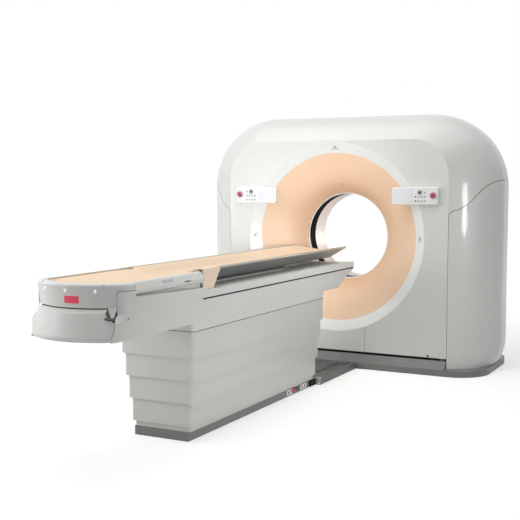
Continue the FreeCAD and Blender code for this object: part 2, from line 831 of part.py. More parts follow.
node(around_bore(detector), "detector_arc")
gen_x = S["generator_offset"]
gen_w = S["generator_width"] / 2
gen_h = S["generator_height"] / 2
node(box("generator_form", (-gen_x - gen_w, -gen_x + gen_w), (drum_y - S["generator_depth"], drum_y),
         (S["bore_height"] - gen_h, S["bore_height"] + gen_h)), "high_voltage_generator")
node(box("cooler_form", (gen_x - gen_w, gen_x + gen_w), (drum_y - S["generator_depth"], drum_y),
         (S["bore_height"] - gen_h, S["bore_height"] + gen_h)), "tube_cooler")

# ----------------------------------------------------------- control panels

EPS = 1e-6


def level_edge(edge, axis, value):
    """True for an edge that lies wholly at one coordinate along an axis."""
    box_ = edge.BoundBox
    low = getattr(box_, axis + "Min")
    high = getattr(box_, axis + "Max")
    return abs(low - value) < 0.01 and abs(high - value) < 0.01


def flip(side, low, high):
    return (low, high) if side > 0 else (-size(high), -size(low))


face_y = -S["panel_proud"]
for side, word in ((-1, "left"), (1, "right")):
    a, b = flip(side, S["panel_inner_x"], S["panel_outer_x"])
    r = S["panel_corner"]
    shell = prism("panel_block_" + word, "XZ_Plane",
                  [(a, S["panel_bottom"], r), (b, S["panel_bottom"], r), (b, S["panel_top"], r),
                   (a, S["panel_top"], r)], face_y, S["panel_proud"])
    soften(shell, "panel_edge_" + word, S["panel_edge"],
           lambda edge: level_edge(edge, "Y", face_y.value))
    stop_x = S["stop_x"] * side
    dial_x = S["dial_x"] * side
    stop_bore = rod("stop_bore_" + word, "y", (stop_x, face_y - 1, S["stop_z"]),
                    S["stop_stem_radius"] + S["plunger_gap"], S["socket_depth"] + 1)
    dial_bore = rod("dial_bore_" + word, "y", (dial_x, face_y - 1, S["dial_z"]),
                    S["dial_radius"] + S["plunger_gap"], S["socket_depth"] + 1)
    node(cut("panel_form_" + word, shell, fuse("panel_bores_" + word, [stop_bore, dial_bore])),
         "control_panel_" + word)
    a, b = flip(side, S["screen_inner_x"], S["screen_outer_x"])
    node(box("screen_form_" + word, (a, b), (face_y - S["film_thickness"], face_y),
             (S["screen_bottom"], S["screen_top"])), "panel_screen_" + word)
    keys = []
    for column in range(4):
        for line in range(3):
            if line == 0 and column < 3:
                continue
            kx = (S["keys_x"] + S["key_pitch"] * column) * side
            kz = S["dial_z"] - S["key_pitch"] * (line * 1.35)
            keys.append(box("key_%s_%d_%d" % (word, column, line),
                            (kx - S["key_half"], kx + S["key_half"]),
                            (face_y - S["film_thickness"], face_y),
                            (kz - S["key_half"], kz + S["key_half"])))
    node(fuse("keys_form_" + word, keys), "film_keys_" + word)
    stem = rod("stop_stem_" + word, "y", (stop_x, face_y - 12, S["stop_z"]),
               S["stop_stem_radius"], S["socket_depth"] + 5)
    head = turned("stop_head_" + word, [
        (0, 0), (S["stop_head_radius"] - 6, 0), (S["stop_head_radius"], 5),
        (S["stop_head_radius"], 9), (S["stop_stem_radius"], 14), (0, 14)])
    bind(head, "Placement.Base.x", stop_x)
    bind(head, "Placement.Base.y", face_y - S["stop_height"])
    bind(head, "Placement.Base.z", S["stop_z"])
    node(fuse("stop_form_" + word, [stem, head]), "stop_button_" + word)
    node(rod("dial_form_" + word, "y", (dial_x, face_y - S["dial_height"], S["dial_z"]),
             S["dial_radius"], S["dial_height"] + S["socket_depth"] - 8), "round_button_" + word)

# ---------------------------------------------------------------- table base

foot_y = S["table_foot_y"]
head_y = S["table_head_y"]
ph = S["table_plinth_half"]
sockets = []
plinth = box("table_plinth_block", (-ph, ph), (foot_y, head_y), (0, S["table_plinth_height"]))
for i, (start, width) in enumerate(((-1235.0, 92.0), (-1015.0, 100.0))):
    spot = ((ph - 2, ph + 1), (size(start), size(start + width)), (10, 42))
    sockets.append(box("socket_%d" % i, *spot))
socket_cut = fuse("socket_recess", [
    box("socket_recess_%d" % i, (ph - 2, ph + 5), (size(start), size(start + width)), (10, 42))
    for i, (start, width) in enumerate(((-1235.0, 92.0), (-1015.0, 100.0)))])
node(cut("table_plinth_form", plinth, socket_cut), "table_plinth")
node(fuse("sockets_form", sockets), "floor_sockets")

bh = S["bridge_half"]
bridge = prism("bridge_form", "XZ_Plane", mirrored([
    (bh, 0), (bh, S["bridge_height"]), (bh - 40, S["bridge_height"]), (bh - 55, S["bridge_height"] / 2),
    (70, S["bridge_height"] / 2), (60, S["bridge_height"] * 0.75)]), head_y,
    -head_y - S["plinth_overhang"])
node(bridge, "floor_bridge")
bracket_wall = S["bracket_wall"]
bracket_back = head_y - S["fit_gap"]
bracket_under = S["bridge_height"] + S["fit_gap"]
bracket_x = ph + S["bracket_clearance"]
node(prism("bracket_form", "YZ_Plane", [
    (bracket_back - bracket_wall, S["bracket_foot"]), (bracket_back, S["bracket_foot"]),
    (bracket_back, bracket_under), (head_y + S["bracket_reach"], bracket_under),
    (head_y + S["bracket_reach"], bracket_under + bracket_wall),
    (bracket_back - bracket_wall, bracket_under + bracket_wall)],
    bracket_x, bh - bracket_x), "end_bracket")


def skirt_plan(order, inset):
    half = S["skirt_half"] - S["skirt_step"] * order - inset
    low = S["skirt_foot_y"] + S["skirt_foot_step"] * order + inset
    high = S["skirt_head_y"] - S["skirt_head_step"] * order - inset
    return rounded_plan(half, low, high, S["skirt_corner"] - inset)


def skirt_tier(label, order, bottom, top):
    """One telescoping cover: a thin tube with a guide lip inside the next."""
    parts = [prism(label + "_tube", "XY_Plane", skirt_plan(order, 0), bottom, top - bottom)]
    if order > 0:
        parts.append(prism(label + "_lip", "XY_Plane",
                           skirt_plan(order - 1, S["skirt_wall"] + S["fit_gap"]),
                           top - S["skirt_lip"], S["skirt_lip"]))
    well = prism(label + "_well", "XY_Plane", skirt_plan(order, S["skirt_wall"]),
                 bottom - 1, top - bottom + 2)
    solid = fuse(label + "_solid", parts) if order > 0 else parts[0]
    tube = cut(label + "_form", solid, well)
    if order < len(tiers) - 1:
        return node(tube, label)
    foot = prism(label + "_foot", "XY_Plane", skirt_plan(order, 0), bottom,
                 S["skirt_foot_thickness"])
    opening = prism(label + "_opening", "XY_Plane", skirt_plan(order, S["skirt_foot_width"]),
                    bottom - 1, S["skirt_foot_thickness"] + 2)
    return node(fuse(label + "_footed", [tube, cut(label + "_foot_ring", foot, opening)]), label)


lap = S["skirt_lap"]
tiers = (("skirt_tier_1", S["tier_bottom_one"], S["pan_bottom"]),
         ("skirt_tier_2", S["tier_bottom_two"], S["tier_bottom_one"] + lap),
         ("skirt_tier_3", S["tier_bottom_three"], S["tier_bottom_two"] + lap),
         ("skirt_tier_4", S["tier_bottom_four"], S["tier_bottom_three"] + lap),
         ("skirt_tier_5", S["table_plinth_height"], S["tier_bottom_four"] + lap))
for order, (label, bottom, top) in enumerate(tiers):
    skirt_tier(label, order, bottom, top)


def column_stage(label, order, bottom):
    """One stage of the lifting column, a square tube."""
    step = (S["column_wall"] + S["fit_gap"]) * order
    hx = S["column_half_x"] - step
    hy = S["column_half_y"] - step
    mid = S["column_y"]
    cw = S["column_wall"]
    tube = box(label + "_tube", (-hx, hx), (mid - hy, mid + hy),
               (bottom, bottom + S["column_stage"]))
    hollow = box(label + "_hollow", (-hx + cw, hx - cw), (mid - hy + cw, mid + hy - cw),
                 (bottom - 1, bottom + S["column_stage"] + 1))
    return node(cut(label + "_form", tube, hollow), label)


column_stage("column_outer", 0, S["table_plinth_height"])
column_stage("column_middle", 1,
             S["table_plinth_height"] + S["column_stage"] - S["column_lap"])
column_stage("column_inner", 2, S["pan_bottom"] - S["column_stage"])

# ------------------------------------------------------- table top structure


def foot_plan(half, centre, head, bend, inset=0):
    """Plan of a bulged foot end: a wide arc between two rounded corners."""
    slope, sweep, corner = (S[word] for word in bend)
    inset = size(inset)
    sweep = sweep - inset
    stretch = root(slope * slope + 1)
    side = size(half) - inset
    apex = size(centre) + inset - sweep * (stretch - 1)
    shoulder = apex + side * slope
    radius = corner - inset
    return [(side, head), (-side, head), (-side, shoulder, radius), (0, apex, sweep),
            (side, shoulder, radius)]


UPPER = ("upper_end_slope", "upper_end_sweep", "upper_end_corner")
LOWER = ("lower_end_slope", "lower_end_sweep", "lower_end_corner")
half = S["table_half"]
pan = S["pan_bottom"]
belt = S["belt_line"]
crease = S["lower_cover_crease"]
low_half = S["table_low_half"]
low_centre = S["lower_end_y"]
waist = S["waist_height"]
waist_share = (waist - pan) / (crease - pan)
waist_half = low_half + (half - low_half) * waist_share
waist_centre = low_centre + (S["crease_end_y"] - low_centre) * waist_share
head_tip = S["panel_head_y"]


def table_form(name, inset):
    """Outer form of the table top: drawn in below the belt line."""
    skirt = loft(name + "_skirt", "XY_Plane", [
        (pan, foot_plan(low_half, low_centre, head_tip, LOWER, inset)),
        (waist, foot_plan(waist_half, waist_centre, head_tip, LOWER, inset)),
        (belt, foot_plan(half, S["panel_end_y"], head_tip, UPPER, inset))], True)
    rise = prism(name + "_rise", "XY_Plane",
                 foot_plan(half, S["panel_end_y"], head_tip, UPPER, inset), belt,
                 S["panel_step"] - belt)
    return fuse(name, [skirt, rise])


table_skin = cut("table_skin", table_form("table_outer", 0), table_form("table_inner", S["pan_wall"]))

seam_x = S["panel_seam_x"]
seam_out = seam_x + S["seam_bow"]
tongue_low = S["tongue_bottom"]
wide = half + 20
front_view = [
    (seam_x, pan - 20), (seam_x, pan), (seam_out, pan + (waist - pan) * 0.6),
    (seam_out, waist), (seam_x - 2, tongue_low + 8, 6), (seam_x - 2, S["panel_step"], S["panel_corner"]),
    (wide, S["panel_step"]), (wide, pan - 20)]
side_view = [
    (low_centre - 60, pan - 1), (low_centre - 60, S["panel_step"] + 20),
    (S["recess_foot_y"], S["panel_step"] + 20), (S["recess_foot_y"], S["shoulder_height"]),
    (S["recess_head_y"], S["arm_step_height"]), (S["ridge_foot_y"], S["ridge_height"]),
    (head_tip - 2, S["ridge_height"]), (head_tip - 1, belt), (head_tip - 25, belt - 14, 30),
    (head_tip - 115, belt - 55), (head_tip - 235, pan - 1)]
cover_end = S["cover_end_y"]
for side, word in ((-1, "left"), (1, "right")):
    outline = front_view if side > 0 else [(-size(c[0]),) + tuple(c[1:]) for c in reversed(front_view)]
    ahead = prism("seam_view_" + word, "XZ_Plane", outline, low_centre - 60,
                  cover_end - low_centre + 61)
    a, b = flip(side, 150, wide)
    behind = box("panel_rest_" + word, (a, b), (cover_end, head_tip), (pan - 1, S["panel_step"] + 1))
    upright = prism("side_view_" + word, "YZ_Plane", side_view,
                    0 if side > 0 else -wide, wide)
    region = fuse("panel_region_" + word, [ahead, behind])
    blank = common("side_panel_blank_" + word, [table_skin, upright, region])
    a, b = flip(side, half - S["rail_slot_depth"], half + 1)
    groove = box("rail_groove_" + word, (a, b), (S["recess_head_y"], head_tip + 1),
                 (S["rail_slot_z"] - S["rail_slot_height"] / 2,
                  S["rail_slot_z"] + S["rail_slot_height"] / 2))
    node(cut("side_panel_form_" + word, blank, groove), "side_panel_" + word)

inner_half = half - S["pan_wall"]
pan_half = low_half - S["pan_wall"] - S["fit_gap"]
frame_end = S["frame_foot_y"]
pan_plate = box("pan_plate", (-pan_half, pan_half), (cover_end + S["fit_gap"], head_tip - 240),
                (pan, S["beam_bottom"]))
collar_out = prism("collar_out", "XY_Plane", skirt_plan(0, -S["skirt_wall"]), S["collar_bottom"],
                   pan - S["collar_bottom"])
collar_in = prism("collar_in", "XY_Plane", skirt_plan(0, 0), S["collar_bottom"] - 1,
                  pan - S["collar_bottom"] + 1)
node(fuse("under_pan_form", [pan_plate, cut("collar_ring", collar_out, collar_in)]), "under_pan")

beam_head = head_tip - 160
nose = [(frame_end, S["beam_bottom"]), (beam_head - 130, S["beam_bottom"]),
        (beam_head, belt - 30), (beam_head, S["beam_top"]), (frame_end, S["beam_top"])]
beams = []
for side, word in ((-1, "left"), (1, "right")):
    a, b = flip(side, S["beam_inner"], S["beam_outer"])
    beams.append(prism("beam_" + word, "YZ_Plane", nose, a, b - a))
column_y = S["column_y"]
reach = S["column_half_y"]
cross = ((frame_end, frame_end + 14), (-2500, -2460), (column_y - reach, column_y + reach),
         (-900, -860))
for i, (low, high) in enumerate(cross):
    beams.append(box("beam_tie_%d" % i, (-S["beam_inner"] - 1, S["beam_inner"] + 1), (low, high),
                     (S["beam_bottom"], S["beam_bottom"] + S["tie_height"])))
node(fuse("table_frame_form", beams), "table_frame")

deck_low = S["deck_top"] - S["deck_fall"]
glide_top = S["cradle_bottom"] - S["fit_gap"]
deck = prism("deck_plate", "XZ_Plane", mirrored([
    (inner_half, S["beam_top"]), (inner_half, S["deck_top"]), (S["beam_outer"], S["deck_top"]),
    (S["deck_flat_half"], deck_low)]), S["recess_foot_y"], head_tip - 6 - S["recess_foot_y"])
glides = []
for side, word in ((-1, "left"), (1, "right")):
    a, b = flip(side, S["glide_inner"], S["glide_outer"])
    glides.append(box("glide_" + word, (a, b), (S["recess_foot_y"], S["glide_head_y"]),
                      (deck_low - 1, glide_top)))
node(fuse("deck_form", [deck] + glides), "top_deck")

# ------------------------------------------------------------- foot covers

rim_z = S["rim_height"]
gap = S["cover_gap"]
cover_low = S["cover_split"] + gap / 2
cover_wall = S["cover_wall"]
block_head = S["recess_foot_y"]
plan_head = block_head + 40


def upper_form(name, inset, floor, top):
    """Form of the upper foot cover, drawn in a little towards its lower edge."""
    return loft(name, "XY_Plane", [
        (floor, foot_plan(half, S["upper_end_y"] + S["upper_draw_in"], plan_head, UPPER, inset)),
        (top, foot_plan(half, S["upper_end_y"], plan_head, UPPER, inset))], True)


upper_lid = upper_form("upper_lid", 0, cover_low, rim_z)
soften_rim = doc.addObject("Part::Fillet", "upper_rim")
doc.recompute()
rim_edges = [i + 1 for i, edge in enumerate(upper_lid.Shape.Edges)
             if level_edge(edge, "Z", rim_z.value) and not level_edge(edge, "Y", plan_head.value)]
soften_rim.Base = upper_lid
soften_rim.Edges = [(i, S["rim_rounding"].value, S["rim_rounding"].value) for i in rim_edges]
upper_hollow = upper_form("upper_hollow", cover_wall, cover_low - 1, rim_z - cover_wall)
well_plan = foot_plan(half, S["upper_end_y"], plan_head, UPPER, S["well_inset"])
well_skin_plan = foot_plan(half, S["upper_end_y"], plan_head, UPPER, S["well_inset"] - cover_wall)
pad_well = prism("pad_well", "XY_Plane", well_plan, cover_low - 1, rim_z)
well_block = prism("well_block", "XY_Plane", well_skin_plan, cover_low - 5, rim_z - cover_low)
block_end = box("block_end", (-wide, wide), (block_head - cover_wall, plan_head + 10),
                (cover_low - 5, rim_z - cover_wall))
upper_core = cut("upper_core", upper_hollow, fuse("upper_core_keep", [well_block, block_end]))


def tongue_form(name, inset, extra):
    """Form of the tongues, which lean out to lie level with the lower cover at their tips."""
    return loft(name, "XY_Plane", [
        (tongue_low - extra, foot_plan(half, S["crease_end_y"], plan_head, LOWER,
                                       inset + S["tongue_set_back"])),
        (cover_low + extra, foot_plan(half, S["upper_end_y"] + S["upper_draw_in"], plan_head,
                                      UPPER, inset))], True)


tongue_skin = cut("tongue_skin", tongue_form("tongue_block", size(0), 0),
                  tongue_form("tongue_core", cover_wall, 1))
tip_x = S["tongue_tip_x"]
tongue_view = [(S["tongue_root_x"], cover_low), (tip_x, tongue_low, 3), (seam_x - 5, tongue_low, 3),
               (seam_x - 5, cover_low)]
seam_gap = S["seam_gap"]
lower_view = mirrored([
    (seam_x - seam_gap, pan - 20), (seam_x - seam_gap, pan),
    (seam_out - seam_gap, pan + (waist - pan) * 0.6), (seam_out - seam_gap, waist),
    (seam_x - gap, tongue_low - gap), (tip_x - gap, tongue_low - gap),
    (S["tongue_root_x"] - gap, cover_low + 2)])
side_room = [(seam_x - 5, cover_low - 40),
             (seam_x - 5, S["panel_step"] + 3, S["panel_corner"] + 3),
             (wide, S["panel_step"] + 3), (wide, cover_low - 40)]
tongues = []
reliefs = []
span = cover_end - low_centre
for side, word in ((-1, "left"), (1, "right")):
    views = [tongue_view, side_room]
    if side < 0:
        views = [[(-size(c[0]),) + tuple(c[1:]) for c in reversed(view)] for view in views]
    strip = prism("tongue_view_" + word, "XZ_Plane", views[0], low_centre - 60, span + 60)
    tongues.append(common("tongue_" + word, [tongue_skin, strip]))
    reliefs.append(prism("side_room_" + word, "XZ_Plane", views[1], low_centre - 60,
                         block_head - low_centre + 61))
past_block = box("past_block", (-wide, wide), (block_head, plan_head + 10),
                 (cover_low - 5, rim_z + 5))
shell_core = cut("upper_shell", soften_rim, fuse("upper_void", [upper_core, pad_well, past_block]
                                                 + reliefs))
arm_x = S["arm_inner"]
leg = S["arm_leg"]
slope_top = arm_x + S["arm_top_width"]
arm_profile = [
    (arm_x, S["deck_top"]), (arm_x + leg, S["deck_top"]), (arm_x + leg, S["arm_low"]),
    (half - 1, S["arm_low"] + 12), (half - 1, rim_z - S["arm_slope_drop"]), (slope_top, rim_z, 14),
    (arm_x, rim_z)]
arms = []
for side, word in ((-1, "left"), (1, "right")):
    outline = arm_profile if side > 0 else [(-size(c[0]),) + tuple(c[1:]) for c in reversed(arm_profile)]
    arms.append(prism("arm_" + word, "XZ_Plane", outline, block_head,
                      S["arm_head_y"] - block_head))
ribs = []
for side, word in ((-1, "left"), (1, "right")):
    a, b = flip(side, S["rib_x"], S["rib_x"] + cover_wall)
    ribs.append(common("cover_rib_" + word, [
        upper_lid, box("cover_rib_box_" + word, (a, b), (low_centre, frame_end + 60),
                       (S["beam_top"], rim_z - 2))]))
socket_slot = box("socket_slot", (half - 14, half + 10),
                  (S["socket_slot_foot_y"], S["socket_slot_head_y"]),
                  (rim_z - S["arm_slope_drop"] - 3, rim_z - S["arm_slope_drop"] + 5))
rib_set = cut("cover_ribs", fuse("cover_rib_pair", ribs), well_block)
upper_solid = fuse("upper_cover_solid", [shell_core, rib_set] + tongues + arms)
node(cut("upper_cover_form", upper_solid, socket_slot), "foot_cover_upper")

lower_top = S["cover_split"] - gap / 2
lower_head = cover_end + 40


def lower_form(name, inset, roof):
    """Form of the lower foot cover: rounded below, widest at its crease."""
    inset = size(inset)
    rounding = S["lower_rounding"]
    sections = []
    for turn in (0, 30, 60, 90):
        rise = rounding * (1 - math.cos(math.radians(turn)))
        tuck = rounding * (1 - math.sin(math.radians(turn)))
        share = rise / (crease - pan)
        sections.append((pan + inset + rise, foot_plan(
            low_half + (half - low_half) * share,
            low_centre + (S["crease_end_y"] - low_centre) * share, lower_head, LOWER,
            inset + tuck)))
    for level, tuck in ((crease, inset), (roof, inset + S["cap_draw_in"])):
        sections.append((level, foot_plan(half, S["crease_end_y"], lower_head, LOWER, tuck)))
    return loft(name, "XY_Plane", sections, True)


lower_shape = lower_form("lower_outer", 0, lower_top)
lower_hollow = lower_form("lower_inner", cover_wall, lower_top + 0.5)
knob_start = S["knob_x"] - S["knob_length"]
knob_bore = rod("knob_bore", "x", (knob_start, S["knob_y"], S["knob_z"]),
                S["knob_radius"] + S["plunger_gap"], S["knob_length"] + 60)
knob_boss = rod("knob_boss", "x", (knob_start, S["knob_y"], S["knob_z"]),
                S["knob_radius"] + cover_wall, S["knob_length"])
lower_stays = [knob_boss]
for side, word in ((-1, "left"), (1, "right")):
    a, b = flip(side, S["rib_x"], S["rib_x"] + cover_wall)
    lower_stays.append(box("lower_rib_" + word, (a, b), (low_centre - 20, frame_end),
                           (pan - 5, lower_top + 5)))
lower_void = cut("lower_void", lower_hollow, fuse("lower_stays", lower_stays))
lower_room = prism("lower_view", "XZ_Plane", lower_view, low_centre - 60, span + 60)
lower_block = common("lower_block", [lower_shape, lower_room])
lower_shell = cut("lower_shell", lower_block, lower_void)
lower_open = cut("lower_open", lower_shell, knob_bore)
node(lower_open, "foot_cover_lower")
node(rod("knob_form", "x", (knob_start + S["knob_travel_room"], S["knob_y"], S["knob_z"]),
         S["knob_radius"], S["knob_length"] - S["knob_travel_room"]), "release_knob")

# ----------------------------------------------------- cradle, pad and flap

ch = S["cradle_half"]
crim = S["cradle_rim"]
cb = S["cradle_bottom"]
cf = S["cradle_flat_half"]
cw = S["cradle_wall"]
bead = S["cradle_bead"]
soft = S["cradle_bend"]
shell_profile = mirrored([
    (cf, cb, soft), (ch, crim - bead), (ch, crim), (ch - bead, crim), (cf - cw / 3, cb + cw, soft)])
# the mirrored half closes the upper face as well
trough = prism("cradle_trough", "XZ_Plane", shell_profile, S["tray_head_y"],
               S["cradle_head_y"] - S["tray_head_y"])
tray_low = S["tray_top"] - S["tray_thickness"]
tray_inset = S["well_inset"] + S["tray_clearance"]
tray = prism("cradle_tray", "XY_Plane",
             foot_plan(half, S["upper_end_y"], S["tray_head_y"] + S["tray_lap"], UPPER, tray_inset),
             tray_low, S["tray_thickness"])
keel = prism("cradle_keel", "XZ_Plane", mirrored([
    (cf, cb), (cf + 60, cb + 14), (cf + 60, tray_low + 1)]), S["keel_foot_y"],
    S["tray_head_y"] + S["tray_lap"] - S["keel_foot_y"])
node(fuse("cradle_form", [trough, tray, keel]), "cradle")

pad_top = crim - 3
seat = S["fit_gap"]
pad_foot_low = S["tray_top"] + seat
shell_run = ch - bead - cf + cw / 3
pad_edge = crim + seat - (ch - bead - S["pad_half"]) * (crim - cb - cw) / shell_run
pad_profile = mirrored([
    (cf - cw / 3, cb + cw + seat, soft), (S["pad_half"], pad_edge),
    (S["pad_half"] - S["pad_edge_slope"], pad_top),
    (S["pad_valley_half"], pad_top - S["pad_dip"], 150)])
pad_start = S["tray_head_y"] + S["tray_lap"] + seat
pad_long = prism("pad_long", "XZ_Plane", pad_profile, pad_start,
                 S["cradle_head_y"] - pad_start - 4)
pad_foot_head = S["tray_head_y"] - seat
pad_foot = prism("pad_foot", "XY_Plane",
                 foot_plan(half, S["upper_end_y"], pad_foot_head, UPPER, tray_inset),
                 pad_foot_low, S["pad_foot_top"] - pad_foot_low)
soften(pad_foot, "pad_foot_round", S["pad_rounding"],
       lambda edge: level_edge(edge, "Z", S["pad_foot_top"].value)
       and not level_edge(edge, "Y", pad_foot_head.value))
pad_joint = common("pad_joint", [
    prism("pad_joint_long", "XZ_Plane", pad_profile, pad_foot_head - 20, pad_start - pad_foot_head + 25),
    box("pad_joint_limit", (-ch, ch), (pad_foot_head - 20, pad_start + 5), (pad_foot_low, crim))])
node(fuse("pad_form", [pad_long, pad_foot, pad_joint]), "pad")

fx0 = S["flap_x"]
flap_low = S["deck_top"] + 1
flap_plate = prism("flap_plate", "YZ_Plane", [
    (S["flap_foot_y"], flap_low), (S["flap_head_low_y"], flap_low),
    (S["flap_head_top_y"], crim - 12), (S["flap_head_top_y"], crim + 4),
    (S["flap_foot_y"], crim + 4)], fx0, S["flap_wall"])
flap_hook = box("flap_hook", (ch - bead, fx0 + 1), (S["flap_foot_y"], S["flap_head_top_y"]),
                (crim, crim + 4))
node(fuse("flap_form", [flap_plate, flap_hook]), "side_flap")

# ------------------------------------------------- small parts at the foot

caps = []
for i, (cx, sink) in enumerate(((-S["cap_x"], S["cap_side_y"]), (size(0), S["cap_centre_y"]),
                                (S["cap_x"], S["cap_side_y"]))):
    caps.append(rod("cap_%d" % i, "y", (cx, sink - S["cap_height"], rim_z - S["cap_drop"]),
                    S["cap_radius"], S["cap_height"] + S["cap_seat"]))
node(cut("caps_form", fuse("caps_all", caps), upper_lid), "foot_caps")
label_block = box("label_block", (S["label_x"], S["label_x"] + S["label_width"]),
                  (S["cap_centre_y"] - 12, S["cap_centre_y"] + 60),
                  (rim_z - S["label_drop"], rim_z - S["label_drop"] + S["label_height"]))
label_zone = upper_form("label_zone", -S["film_thickness"], cover_low, rim_z)
label_seat = upper_form("label_seat", -S["label_clearance"], cover_low - 1, rim_z + 1)
node(common("label_form", [label_block, cut("label_film", label_zone, label_seat)]), "foot_label")
keypad_mid = rim_z - S["arm_slope_drop"] / 2
node(common("keypad_form", [
    box("keypad_block", (slope_top, half + 5), (S["keypad_foot_y"], S["keypad_head_y"]),
        (keypad_mid - 8, keypad_mid + 9)),
    prism("keypad_wedge", "XZ_Plane", [
        (half - 1, rim_z - S["arm_slope_drop"]), (half - 1 + 2, rim_z - S["arm_slope_drop"] + 2),
        (slope_top + 2, rim_z + 2), (slope_top, rim_z)], S["keypad_foot_y"] - 1,
        S["keypad_head_y"] - S["keypad_foot_y"] + 2)]), "arm_keypad")

# ------------------------------------------------------------------- output

doc.recompute()
faults = [thing.Name for thing in doc.Objects if {"Invalid", "Error"} & set(thing.State)]
if faults:
    raise RuntimeError("failed: " + ", ".join(faults))
for piece in NODES:
    shape = piece.Shape
    if shape.isNull() or not shape.isValid() or not shape.Solids:
        raise RuntimeError("bad shape: " + piece.Label)
os.makedirs("parts", exist_ok=True)
for piece in NODES:
    piece.Shape.exportStep(os.path.join("parts", piece.Label + ".step"))
print(len(NODES), "pieces,", sum(len(piece.Shape.Solids) for piece in NODES), "solids")
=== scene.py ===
"""Looks of the whole-body scanner: finishes, pad, small fittings, floor, lamps and camera."""
import json
import math

import bmesh
import bpy
from mathutils import Matrix, Vector
from mathutils.bvhtree import BVHTree


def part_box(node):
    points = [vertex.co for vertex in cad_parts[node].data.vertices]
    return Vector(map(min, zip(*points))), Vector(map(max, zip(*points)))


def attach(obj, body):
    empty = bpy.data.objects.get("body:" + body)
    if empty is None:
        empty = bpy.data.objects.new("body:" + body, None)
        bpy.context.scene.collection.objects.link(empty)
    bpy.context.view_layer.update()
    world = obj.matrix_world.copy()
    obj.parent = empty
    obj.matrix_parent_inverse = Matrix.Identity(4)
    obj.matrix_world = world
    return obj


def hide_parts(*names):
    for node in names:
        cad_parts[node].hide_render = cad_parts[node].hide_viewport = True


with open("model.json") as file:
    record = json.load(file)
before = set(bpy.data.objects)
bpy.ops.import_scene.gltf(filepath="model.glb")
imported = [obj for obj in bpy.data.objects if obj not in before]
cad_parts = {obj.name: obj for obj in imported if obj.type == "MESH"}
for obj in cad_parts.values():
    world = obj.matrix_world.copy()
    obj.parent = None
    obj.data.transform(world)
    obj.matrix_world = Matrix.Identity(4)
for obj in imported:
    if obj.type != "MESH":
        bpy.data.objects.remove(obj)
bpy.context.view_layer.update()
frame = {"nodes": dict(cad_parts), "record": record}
nodes = frame["nodes"]

# ---------------------------------------------------------------- materials

NOISE_LOW, NOISE_HIGH = 0.3, 0.7  # nearly all of a noise texture's values lie in here
COLOUR_A, COLOUR_B, COLOUR_OUT = 6, 7, 2  # the colour sockets of a Mix node
WHITE = (1.0, 1.0, 1.0, 1.0)


def paint(red, green, blue):
    """Linear colour of an 8-bit screen colour."""
    linear = []
    for level in (red, green, blue):
        share = level / 255
        linear.append(share / 12.92 if share <= 0.04045 else ((share + 0.055) / 1.055) ** 2.4)
    return (*linear, 1.0)


def scaled(colour, share):
    """A lighter or darker tone of a colour."""
    return tuple(min(1.0, part * share) for part in colour[:3]) + (1.0,)


